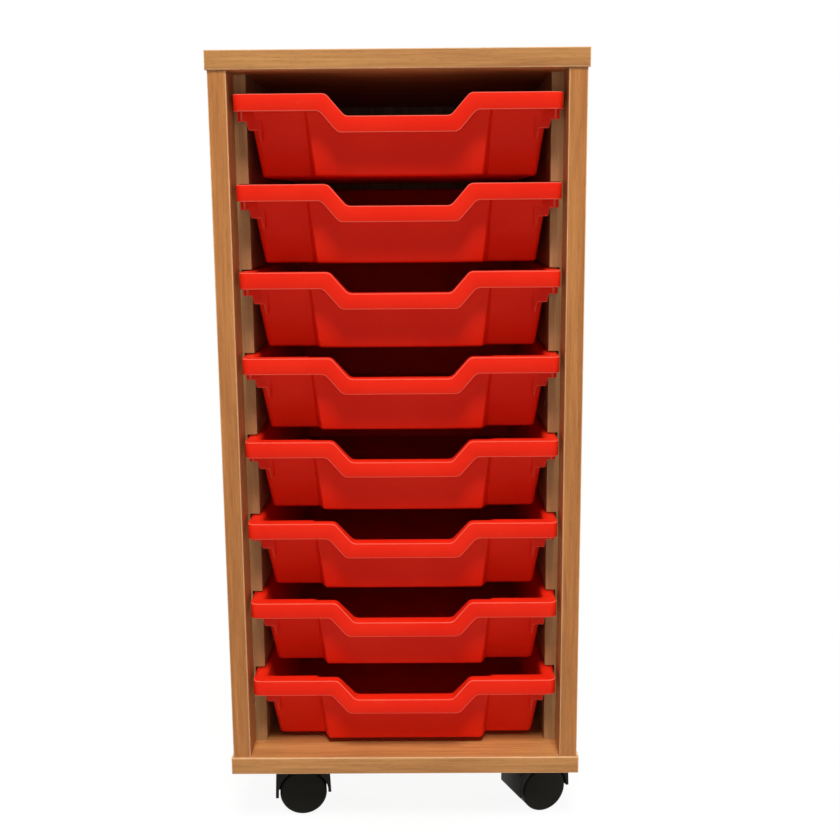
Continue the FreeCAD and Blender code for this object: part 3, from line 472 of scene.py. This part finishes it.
tray_red = make_plastic(
    "tray_red", (0.85, 0.022, 0.006), (0.80, 0.016, 0.004), (0.96, 0.26, 0.17),
    rough=0.42, arris=0.65, scuff=0.03, gloss=0.09)
hood_black = make_plastic(
    "hood_black", (0.010, 0.0097, 0.0076), (0.013, 0.0125, 0.010), (0.06, 0.057, 0.05),
    rough=0.42, arris=0.3, scuff=0.12, gloss=0.06)
wheel_black = make_plastic(
    "wheel_black", (0.0085, 0.0079, 0.0058), (0.0115, 0.0107, 0.0083), (0.05, 0.046, 0.04),
    rough=0.5, arris=0.2, scuff=0.15, gloss=0.06)
steel = make_steel("zinc_steel")
print("plastics and steel ready")

# %% [markdown]
# ## Outlines
# Most pieces here start from an outline: a row of corners, some of them rounded. A corner
# is rounded with an arc of a set number of steps, so two outlines drawn with the same
# steps always pair up point by point. A plate is a circle primitive whose vertices are
# laid on an outline, filled and extruded.

# %% Rounded outlines and plates
def round_corner(before, corner, after, radius, steps):
    """The points of an arc that rounds a corner."""
    inward = (before - corner).normalized()
    outward = (after - corner).normalized()
    half = inward.angle(outward) / 2
    centre = corner + (inward + outward).normalized() * (radius / math.sin(half))
    start = corner + inward * (radius / math.tan(half)) - centre
    end = corner + outward * (radius / math.tan(half)) - centre
    sweep = math.pi - 2 * half
    return [centre + (start * math.sin(sweep * (1 - step / steps))
                      + end * math.sin(sweep * step / steps)) / math.sin(sweep)
            for step in range(steps + 1)]


def between(first, last, count):
    """Points evenly between two others, which are left out."""
    return [first.lerp(last, (step + 1) / (count + 1)) for step in range(count)]


def make_plate(name, outline, thickness):
    """A plate from an outline of (x, y, z) points in millimetres, extruded by a vector."""
    bpy.ops.object.select_all(action="DESELECT")
    bpy.ops.mesh.primitive_circle_add(vertices=len(outline), fill_type="NGON")
    plate = bpy.context.object
    plate.name = name
    for vert, point in zip(plate.data.vertices, outline):
        vert.co = Vector(point) * MM
    edit(plate, "FACE")
    bpy.ops.mesh.select_all(action="SELECT")
    bpy.ops.mesh.extrude_region_move(
        TRANSFORM_OT_translate={"value": Vector(thickness) * MM})
    bpy.ops.mesh.select_all(action="SELECT")
    bpy.ops.mesh.normals_make_consistent(inside=False)
    leave_edit()
    return plate


def join(pieces):
    """Joins several pieces into the first."""
    alone(pieces[0])
    for piece in pieces[1:]:
        piece.select_set(True)
    bpy.ops.object.join()
    return pieces[0]


print("outline helpers ready")

# %% [markdown]
# ## The tray
# A school tray is one injection moulding of even thickness: a floor, four walls that lean
# out so that trays nest, a rim with a hanging face in front and a lip that runs in the
# grooves at the sides. The middle of the front wall bulges forward, and the rim dips there
# so that fingers can get in. It could be carved from a box with booleans, but a moulding
# is really a bent sheet, so it is made as one: a ring of vertices is extruded again and
# again, each new ring is laid on the next outline, and a Solidify modifier gives the wall.

# %% Tray dimensions
TRAY_HALF = 156.0
TRAY_LENGTH = 427.0
TRAY_DEPTH = 76.0
WALL = 2.0
BODY_HALF = 145.0
BODY_REAR = 419.0
BULGE_HALF = 89.5
BULGE_STEP = 1.3
BULGE_FRONT = 11.5
RECESS_FRONT = 15.0
SIDE_LEAN, REAR_LEAN, BULGE_LEAN, RECESS_LEAN, STEP_LEAN = (
    math.tan(math.radians(angle)) for angle in (7.6, 11, 11.5, 20, 10))
BODY_CORNER = 4.0
BULGE_CORNER = 0.6
STEP_CORNER = 2.6
RIM_CORNER = 8.0
RIM_EDGE = 3.2
FLOOR_CORNER = 1.0
RIM_HEIGHT = 16.0
RIM_DEPTH = 16.7
LIP_DROP = 9.0
DIP_DEPTH = 20.7
DIP_HALF = 50.0
DIP_UNDER_HALF = 57.0
DIP_RIM_HEIGHT = 15.3
DIP_SLOPE = math.tan(math.radians(49))
DIP_CORNER = 8.0
DIP_TAIL = 12.0
MIDDLE_RING = DIP_DEPTH + 20
FACE_STEP = 0.5
STATION_GAP = 0.7
ARC_STEPS = 6
print("tray wall", WALL, "mm, rim", 2 * TRAY_HALF, "mm wide")

# %% [markdown]
# Every ring has the same stations: the flat of the bulge with the bends of the dip, the
# bulge's corner, the recess, the body's front corner, the side, the rear corner and the
# rear. Half a ring is worked out, from the middle of the front to the middle of the rear,
# and mirrored, so the tray comes out exactly symmetrical.

# %% Tray outlines
def dip_line(half, depth, foot):
    """Half of a dip's edge in the plane of the rim's face: points (x, z)."""
    shoulder = half + (depth - foot) / DIP_SLOPE
    corners = [Vector((0, -depth)), Vector((half, -depth)), Vector((shoulder, -foot)),
               Vector((shoulder + DIP_TAIL, -foot))]
    low = round_corner(corners[0], corners[1], corners[2], DIP_CORNER, ARC_STEPS)
    high = round_corner(corners[1], corners[2], corners[3], DIP_CORNER, ARC_STEPS)
    return ([corners[0]] + between(corners[0], low[0], 3) + low
            + between(low[-1], high[0], 1) + high)


DIP_TOP = dip_line(DIP_HALF, DIP_DEPTH, 0)
DIP_UNDER = dip_line(DIP_UNDER_HALF, DIP_DEPTH + DIP_RIM_HEIGHT, RIM_HEIGHT)


def body_ring(depth, inset):
    """Half an outline of the wall's line at a depth below the rim, set in by inset."""
    bulge = BULGE_FRONT + inset + depth * BULGE_LEAN
    recess = RECESS_FRONT + inset + depth * RECESS_LEAN
    side = BODY_HALF - inset - depth * SIDE_LEAN
    rear = BODY_REAR - inset - depth * REAR_LEAN
    run = Vector((BULGE_STEP, RECESS_FRONT - BULGE_FRONT))
    slope = run.x / run.y
    shift = (inset + depth * STEP_LEAN) / math.cos(math.atan(slope))
    step_foot = BULGE_HALF - shift

    def on_step(along):
        return Vector((step_foot + (along - BULGE_FRONT) * slope, along))

    extra = inset - WALL
    corners = [Vector((0, bulge)), on_step(bulge), on_step(recess), Vector((side, recess)),
               Vector((side, rear)), Vector((0, rear))]
    radii = (BULGE_CORNER, STEP_CORNER + extra, BODY_CORNER - extra, BODY_CORNER - extra)
    arcs = [round_corner(*corners[place:place + 3], radius, ARC_STEPS)
            for place, radius in enumerate(radii)]
    flat = [Vector((point.x, bulge)) for point in DIP_TOP]
    return (flat + arcs[0] + arcs[1] + between(arcs[1][-1], arcs[2][0], 3) + arcs[2]
            + between(arcs[2][-1], arcs[3][0], 6) + arcs[3]
            + between(arcs[3][-1], corners[5], 3) + [corners[5]])


def rim_ring(dip=DIP_TOP):
    """Half an outline of the rim, whose stations pair with those of the body."""
    body = body_ring(0, WALL)
    first = len(DIP_TOP)
    corner = first + 2 * (ARC_STEPS + 1)
    front_end, rear_end = Vector((TRAY_HALF, 0)), Vector((TRAY_HALF, TRAY_LENGTH))
    start, end = Vector((0, 0)), Vector((0, TRAY_LENGTH))
    arcs = [round_corner(start, front_end, rear_end, RIM_CORNER, ARC_STEPS),
            round_corner(front_end, rear_end, end, RIM_CORNER, ARC_STEPS)]
    flat = [Vector((point.x, 0)) for point in dip]
    step = [Vector((max(point.x, flat[-1].x + STATION_GAP * (number + 1)), 0))
            for number, point in enumerate(body[first:corner])]
    face_ends = [Vector((TRAY_HALF, RIM_DEPTH)), Vector((TRAY_HALF, RIM_DEPTH + FACE_STEP))]
    return (flat + step + between(step[-1], arcs[0][0], 3) + arcs[0]
            + face_ends + between(face_ends[-1], arcs[1][0], 4) + arcs[1]
            + between(arcs[1][-1], end, 3) + [end])


RIM_TOP = [point.y for point in DIP_TOP]
RIM_TOP += [0.0] * (len(body_ring(0, WALL)) - len(RIM_TOP))


def rim_foot(place):
    """Height of the rim's lower edge at a station of the outer ring."""
    number, point = place
    if number < len(DIP_UNDER):
        return DIP_UNDER[number].y
    return -RIM_HEIGHT if point.y < RIM_DEPTH + FACE_STEP / 2 else -LIP_DROP


print("stations in half a ring:", len(RIM_TOP))

# %% [markdown]
# The rings follow the sheet from the floor up the wall, over the rim and down its face.
# At each bend the ring is repeated in small turns, so the bend is a true rounding.

# %% Tray rings
def whole(half):
    """Mirrors half a ring of (x, y, z) points to a closed one."""
    return half + [Vector((-point.x, point.y, point.z)) for point in half[-2:0:-1]]


def raise_ring(outline, heights):
    return [Vector((point.x, point.y, height)) for point, height in zip(outline, heights)]


def tray_rings():
    stations = len(RIM_TOP)
    floor = TRAY_DEPTH - WALL
    rings = []
    for degrees in (0, 22.5, 45, 67.5, 90):
        turn = math.radians(degrees)
        depth = floor - FLOOR_CORNER * (1 - math.cos(turn))
        inset = WALL + FLOOR_CORNER * (1 - math.sin(turn))
        rings.append(raise_ring(body_ring(depth, inset), [-depth] * stations))
    rings.append(raise_ring(body_ring(MIDDLE_RING, WALL), [-MIDDLE_RING] * stations))
    for degrees in (0, 30, 60, 90):
        turn = math.radians(degrees)
        drop = RIM_EDGE * (1 - math.sin(turn))
        inset = WALL - RIM_EDGE * (1 - math.cos(turn))
        ring = []
        for number, top in enumerate(RIM_TOP):
            point = body_ring(drop - top, inset)[number]
            ring.append(Vector((point.x, point.y, top - drop)))
        rings.append(ring)
    rings.append(raise_ring(rim_ring(), RIM_TOP))
    outline = rim_ring(DIP_UNDER)
    rings.append(raise_ring(outline, map(rim_foot, enumerate(outline))))
    return [whole(ring) for ring in rings]


rings = tray_rings()
print("rings:", len(rings), "stations in a ring:", len(rings[0]))

# %% [markdown]
# The sheet grows from the innermost ring: its vertices are extruded, and each new vertex is
# laid on its station of the next ring. A ring can be closed with one flat face, which is
# how the tray gets its floor. Solidify then thickens the sheet outwards, so the sheet's
# normals have to look into the tray.

# %% Tray sheet
SAME_LEVEL = 1e-7


def lay_ring(piece, old, new):
    """Extrudes the selected ring of vertices and lays it on the next outline."""
    bpy.ops.mesh.extrude_region_move()
    mesh = bmesh.from_edit_mesh(piece.data)
    for vert in mesh.verts:
        if vert.select:
            station = min(range(len(old)), key=lambda at: (old[at] * MM - vert.co).length)
            vert.co = new[station] * MM
    bmesh.update_edit_mesh(piece.data)


def close_ring(piece, ring):
    """Fills a flat ring with one face."""
    bpy.ops.mesh.select_all(action="DESELECT")
    mesh = bmesh.from_edit_mesh(piece.data)
    level = ring[0].z * MM
    for edge in mesh.edges:
        edge.select = all(abs(vert.co.z - level) < SAME_LEVEL for vert in edge.verts)
    bmesh.update_edit_mesh(piece.data)
    bpy.ops.mesh.edge_face_add()


def make_rings(name, rings, closed):
    """A mesh through all the rings, with a face in each of the closed ones."""
    bpy.ops.object.select_all(action="DESELECT")
    bpy.ops.mesh.primitive_circle_add(vertices=len(rings[0]), fill_type="NOTHING")
    piece = bpy.context.object
    piece.name = name
    for vert, point in zip(piece.data.vertices, rings[0]):
        vert.co = point * MM
    edit(piece, "EDGE")
    bpy.ops.mesh.select_all(action="SELECT")
    for old, new in zip(rings, rings[1:]):
        lay_ring(piece, old, new)
    for ring in closed:
        close_ring(piece, ring)
    bpy.ops.mesh.select_all(action="SELECT")
    bpy.ops.mesh.normals_make_consistent(inside=False)
    leave_edit()
    return piece


def make_tray_sheet(rings):
    sheet = make_rings("tray_sheet", rings, rings[:1])
    floor = max(sheet.data.polygons, key=lambda face: face.area)
    if floor.normal.z < 0:
        edit(sheet)
        bpy.ops.mesh.select_all(action="SELECT")
        bpy.ops.mesh.flip_normals()
        leave_edit()
    apply_modifier(sheet, "SOLIDIFY", thickness=WALL * MM, offset=-1.0,
                   use_even_offset=True)
    return sheet


tray = make_tray_sheet(rings)
print("tray sheet:", size_of(tray), "faces:", len(tray.data.polygons))

# %% [markdown]
# Under the front corners of the rim hang small stepped stops, with a thin rib beside
# them. They meet the front of the runner boards when the tray is shut. They are moulded
# with the tray, so they are plates and blocks joined to the same mesh. Drawn whole, they
# would show inside the tray, so a Boolean modifier first takes away what lies in its room.
# The arrises that turn outwards get a small rounding. Bevel's overlap guard is off, because
# one short edge would shrink the rounding of a whole mesh.

# %% Tray stops
SHARP_TURN = math.radians(50)
FOLD_TURN = math.radians(120)
RIM_ROUND = 0.8
STOP_ROUND = 0.6
STOP_FACE = 22.7
STOP_REACH = 13.7
STOP_WALL = 2.0
STOP_TOP = -1.2
BLOCK_SETBACK = 0.8
RIB_PROUD = 1.2
ROOM_PLAY = 0.7
ROOM_TOP = 5.0
# The stops are drawn as seen from the front, in points (across, up) from the rim's top.
STOP_STEPS = ((144.5, -32.0), (135.0, -32.0), (133.0, -41.5), (131.0, -41.5),
              (131.0, STOP_TOP))
STOP_PLATE = ((155.0, STOP_TOP), (155.0, -24.0), (146.6, -24.0)) + STOP_STEPS
STOP_BLOCK = ((144.5, STOP_TOP),) + STOP_STEPS
STOP_RIB = ((151.7, STOP_TOP), (151.7, -23.0), (149.7, -23.0), (149.7, STOP_TOP))
STOP_BACK = STOP_FACE + STOP_REACH
STOP_PIECES = ((STOP_PLATE, STOP_FACE, STOP_FACE + STOP_WALL),
               (STOP_BLOCK, STOP_FACE + BLOCK_SETBACK, STOP_BACK),
               (STOP_RIB, STOP_FACE - RIB_PROUD, STOP_BACK))


def round_arrises(piece, width):
    """Bevels the edges that turn sharply outwards."""
    edit(piece, "EDGE")
    bpy.ops.mesh.select_all(action="DESELECT")
    mesh = bmesh.from_edit_mesh(piece.data)
    for edge in mesh.edges:
        edge.select = SHARP_TURN < edge.calc_face_angle_signed(0) < FOLD_TURN
    bmesh.update_edit_mesh(piece.data)
    bpy.ops.mesh.bevel(offset=width * MM, segments=2, affect="EDGES", clamp_overlap=False)
    leave_edit()


def make_tray_room():
    """The room inside the tray, from its floor to above its rim, as a closed solid."""
    rings = []
    for depth in (TRAY_DEPTH - WALL, -ROOM_TOP):
        outline = body_ring(depth, WALL - ROOM_PLAY)
        rings.append(whole(raise_ring(outline, [-depth] * len(outline))))
    return make_rings("tray_room", rings, rings)


def add_stops(tray):
    room = make_tray_room()
    stops = []
    for side in (-1, 1):
        for outline, front, back in STOP_PIECES:
            points = [(side * across, front, up) for across, up in outline]
            stop = make_plate("stop", points, (0, back - front, 0))
            round_arrises(stop, STOP_ROUND)
            apply_modifier(stop, "BOOLEAN", operation="DIFFERENCE", object=room)
            stops.append(stop)
    alone(room)
    bpy.ops.object.delete()
    return join([tray] + stops)


round_arrises(tray, RIM_ROUND)
tray = add_stops(tray)
print("tray with its stops:", size_of(tray))

# %% [markdown]
# The finished moulding is shaded smooth all over, and only the faces in front, on the
# face of its rim and on its stops, carry the painted arris highlight.

# %% Faces of the tray with the painted highlight
FACE_BAND = 3.0
STOP_INSIDE = 132.2


def takes_arris_highlight(middle):
    """Whether a face lies in the front of the rim or in a stop's face, where the arris
    highlight is painted.
    """
    in_front = middle.y < (STOP_FACE + STOP_WALL) * MM
    return in_front and (middle.y < FACE_BAND * MM or abs(middle.x) > STOP_INSIDE * MM)


smooth(tray, MOULDING_SMOOTH)
# Only the arrises in front are marked for the painted highlight.
mark_arrises(tray, takes_arris_highlight)
print("tray faces:", len(tray.data.polygons))

# %% [markdown]
# The tray is modelled once about its own rim. Each of the eight gets its own mesh, moved
# to its groove, and rides on its own body, so that every tray can slide out by itself.

# %% Eight trays
TRAY_FACE = -219.7
TRAY_PITCH = 83.5
TRAY_COUNT = 8
LOWEST_RIM = 164.2

for number in range(1, TRAY_COUNT + 1):
    alone(tray)
    bpy.ops.object.duplicate()
    one = bpy.context.object
    one.name = "shallow_tray_%d" % number
    rim = LOWEST_RIM + (TRAY_COUNT - number) * TRAY_PITCH
    one.location = Vector((0, TRAY_FACE, rim)) * MM
    node = "tray_%d" % number
    finish_piece(one, node + "_body", tray_red, [node])
alone(tray)
bpy.ops.object.delete()
print("trays:", TRAY_COUNT)

# %% [markdown]
# ## Edging strips
# The raw edges of the boards are covered with 2 mm strips, whose outer arrises are rounded
# over with a trimmer. A plain box would show a hard, dead edge, so each strip is a cube
# sized to the CAD strip, and only the arrises of its outer face are bevelled.

# %% Edging strips
STRIP_THICKNESS = 2 * MM
STRIP_ROUND = 1.2 * MM
STRIP_SMOOTH = 35
SAME_PLACE = 1e-5


def make_strip(low, high, axis, outer, square_end=None):
    """A strip between two corners, rounded where it meets the plane axis = outer."""
    bpy.ops.object.select_all(action="DESELECT")
    bpy.ops.mesh.primitive_cube_add(size=1, location=(low + high) / 2, scale=high - low)
    strip = bpy.context.object
    bpy.ops.object.transform_apply(location=True, rotation=True, scale=True)
    edit(strip, "EDGE")
    bpy.ops.mesh.select_all(action="DESELECT")
    mesh = bmesh.from_edit_mesh(strip.data)
    for edge in mesh.edges:
        ends = [vert.co for vert in edge.verts]
        outside = all(abs(end[axis] - outer) < SAME_PLACE for end in ends)
        square = square_end is not None and all(
            abs(end.y - square_end) < SAME_PLACE for end in ends)
        edge.select = outside and not square
    bmesh.update_edit_mesh(strip.data)
    bpy.ops.mesh.bevel(offset=STRIP_ROUND, segments=4, affect="EDGES")
    leave_edit()
    return strip


def finish_strip(strips, node, material):
    strip = join(strips)
    smooth(strip, STRIP_SMOOTH)
    # The strip's arrises carry the painted highlight.
    mark_arrises(strip)
    strip.name = node + "_strip"
    finish_piece(strip, "root", material, [node])


for board in ("top", "base"):
    node = board + "_front_edging"
    low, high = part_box(node)
    finish_strip([make_strip(low, high, 1, low.y)], node, edging_across)
    node = board + "_end_edgings"
    low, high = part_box(node)
    left_inner = Vector((low.x + STRIP_THICKNESS, high.y, high.z))
    right_inner = Vector((high.x - STRIP_THICKNESS, low.y, low.z))
    ends = [make_strip(low, left_inner, 0, low.x, low.y),
            make_strip(right_inner, high, 0, high.x, low.y)]
    finish_strip(ends, node, edging_along)
for side in ("left", "right"):
    node = side + "_side_edging"
    low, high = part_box(node)
    finish_strip([make_strip(low, high, 1, low.y)], node, edging_up)
print("edging strips done")

# %% [markdown]
# ## Boards and fixings
# The boards, the back panel, the runner boards and the fixings already have their true
# shape in the CAD model, so they stay and only get their finish. The grain runs up the
# sides and across the top and base.

# %% Finishes of the CAD nodes
def paint(node, material):
    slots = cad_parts[node].data.materials
    slots.clear()
    slots.append(material)


FINISHES = {"top_panel": board_across, "base_panel": board_across,
            "left_side_panel": board_up, "right_side_panel": board_up,
            "back_panel": back_finish_and_shade, "left_runner_panel": runner_finish,
            "right_runner_panel": runner_finish, "carcase_dowels": dowel_finish,
            "runner_screws": steel, "back_panel_screws": steel, "castor_screws": steel}
for node, material in FINISHES.items():
    paint(node, material)
print("painted nodes:", len(FINISHES))

# %% [markdown]
# ## Castors
# Each castor is a moulded hood that covers two wheels, turning on a king pin that hangs
# from a steel plate. The CAD shapes are right, but their edges are knife sharp, which no
# moulding is. So each is copied, its loose triangles are merged back into faces, and its
# edges are rounded with a Bevel modifier.

# %% Castors
HOOD_ROUND = 0.7
WHEEL_ROUND = 0.6
HARD_TURN = math.radians(38)
FLAT_TURN = math.radians(1)
SAME_POINT = 1e-6


def refined_copy(node, name, width):
    """A copy of a CAD node with merged faces and rounded edges."""
    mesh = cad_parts[node].data.copy()
    piece = bpy.data.objects.new(name, mesh)
    bpy.context.scene.collection.objects.link(piece)
    edit(piece)
    bpy.ops.mesh.select_all(action="SELECT")
    bpy.ops.mesh.remove_doubles(threshold=SAME_POINT)
    bpy.ops.mesh.dissolve_limited(angle_limit=FLAT_TURN)
    bpy.ops.mesh.normals_make_consistent(inside=False)
    leave_edit()
    apply_modifier(piece, "BEVEL", width=width * MM, segments=2, limit_method="ANGLE",
                   angle_limit=HARD_TURN)
    smooth(piece, MOULDING_SMOOTH)
    # The rounded arrises carry the painted highlight.
    mark_arrises(piece)
    return piece


CASTORS = ("front_left", "front_right", "back_left", "back_right")
for castor in CASTORS:
    node = castor + "_castor_hood"
    hood = refined_copy(node, castor + "_hood", HOOD_ROUND)
    finish_piece(hood, castor + "_castor", hood_black, [node])
    for wheel in ("outer_wheel", "inner_wheel"):
        node = castor + "_" + wheel
        rounded = refined_copy(node, node + "_tyre", WHEEL_ROUND)
        finish_piece(rounded, node + "_body", wheel_black, [node])
    for pin in ("_castor_axle", "_castor_plate", "_king_pin"):
        paint(castor + pin, steel)
print("castors:", len(CASTORS))

# %% [markdown]
# ## Lamps
# A picture for a catalogue is lit softly from above: one large lamp high in front, far
# enough away to reach the lowest tray too, and a weak one low in front. The low lamp is
# left out of reflections, or it would lie as a haze on the red. Three more lamps stand
# behind the plane of the front, so they light only the sides and the back. A surface that
# faces a lamp shows about its own colour.

# %% Lamps
AIM = Vector((0, 0, 0.42))
# Each lamp has a place, a width in metres and a power in watts.
LAMPS = {"key_lamp": ((0.2, -3.8, 6.3), 2.4, 505),
         "fill_lamp": ((0.0, -3.2, 0.25), 1.8, 15),
         "left_lamp": ((-3.6, 0.7, 0.9), 2.0, 75),
         "right_lamp": ((3.6, 0.7, 0.9), 2.0, 75),
         "back_lamp": ((0.2, 4.2, 0.9), 2.0, 100)}


def add_lamp(name, place, size, power):
    bpy.ops.object.select_all(action="DESELECT")
    bpy.ops.object.light_add(type="AREA", location=place)
    lamp = bpy.context.object
    lamp.name = name
    lamp.data.shape = "DISK"
    lamp.data.size = size
    lamp.data.energy = power
    lamp.rotation_euler = (AIM - Vector(place)).to_track_quat("-Z", "Y").to_euler()
    lamp.visible_glossy = name != "fill_lamp"


for name, (place, size, power) in LAMPS.items():
    add_lamp(name, place, size, power)
print("lamps:", len(LAMPS))

# %% [markdown]
# ## World and floor
# The page round the unit is white, but the whiteness comes from the world and the floor
# as the camera sees them, not from more light on the unit. For all other rays the world is
# a weak white light and the floor a grey disc. A small share of the floor near the unit
# stays a shaded surface, so it keeps a soft shadow.

# %% World and floor
ROOM_LIGHT = 0.05
FLOOR_RADIUS = 4.0
FLOOR_GREY = (0.50, 0.50, 0.50, 1)
WHITE = (1, 1, 1, 1)
SHADOW_SHARE = 0.08
SHADOW_FADE = (0.2, 0.6)


def seen_directly(tree):
    """1 for camera, glossy and transmission rays."""
    path = add_node(tree, "ShaderNodeLightPath")
    seen = add_math(tree, "MAXIMUM", path.outputs["Is Camera Ray"],
                    path.outputs["Is Glossy Ray"])
    return add_math(tree, "MAXIMUM", seen, path.outputs["Is Transmission Ray"])


def mix_shaders(tree, factor, first, second):
    mixed = add_node(tree, "ShaderNodeMixShader")
    for socket, output in zip(mixed.inputs, (factor, first.outputs[0], second.outputs[0])):
        put(tree, socket, output)
    return mixed


def make_world():
    """A weak white light all round, seen directly as a white page."""
    world = bpy.data.worlds.new("white_room")
    bpy.context.scene.world = world
    world.use_nodes = True
    tree = world.node_tree
    tree.nodes.clear()
    room = add_node(tree, "ShaderNodeBackground", Color=WHITE, Strength=ROOM_LIGHT)
    page = add_node(tree, "ShaderNodeBackground", Color=WHITE, Strength=1.0)
    mixed = mix_shaders(tree, seen_directly(tree), room, page)
    output = add_node(tree, "ShaderNodeOutputWorld")
    put(tree, output.inputs[0], mixed.outputs[0])


def make_floor():
    """A grey disc, seen directly as a white page that takes a soft shadow near the unit."""
    bpy.ops.object.select_all(action="DESELECT")
    bpy.ops.mesh.primitive_circle_add(vertices=96, radius=FLOOR_RADIUS, fill_type="NGON")
    floor = bpy.context.object
    floor.name = "floor"
    material, tree, shader = new_material("pale_floor")
    floor.data.materials.append(material)
    shader.inputs["Base Color"].default_value = FLOOR_GREY
    shader.inputs["Roughness"].default_value = 0.9
    away = add_node(tree, "ShaderNodeVectorMath", {"operation": "LENGTH"})
    put(tree, away.inputs[0], object_coordinates(tree))
    near = add_range(tree, away.outputs["Value"], *SHADOW_FADE, SHADOW_SHARE, 0.0)
    white = add_node(tree, "ShaderNodeEmission", Color=WHITE, Strength=1.0)
    shaded = add_node(tree, "ShaderNodeBsdfDiffuse", Color=WHITE)
    page = mix_shaders(tree, near, white, shaded)
    mixed = mix_shaders(tree, seen_directly(tree), shader, page)
    put(tree, tree.nodes["Material Output"].inputs["Surface"], mixed.outputs[0])
    return floor


make_world()
floor = make_floor()
bpy.context.scene.view_settings.view_transform = "Standard"
print("floor radius:", FLOOR_RADIUS, "m")
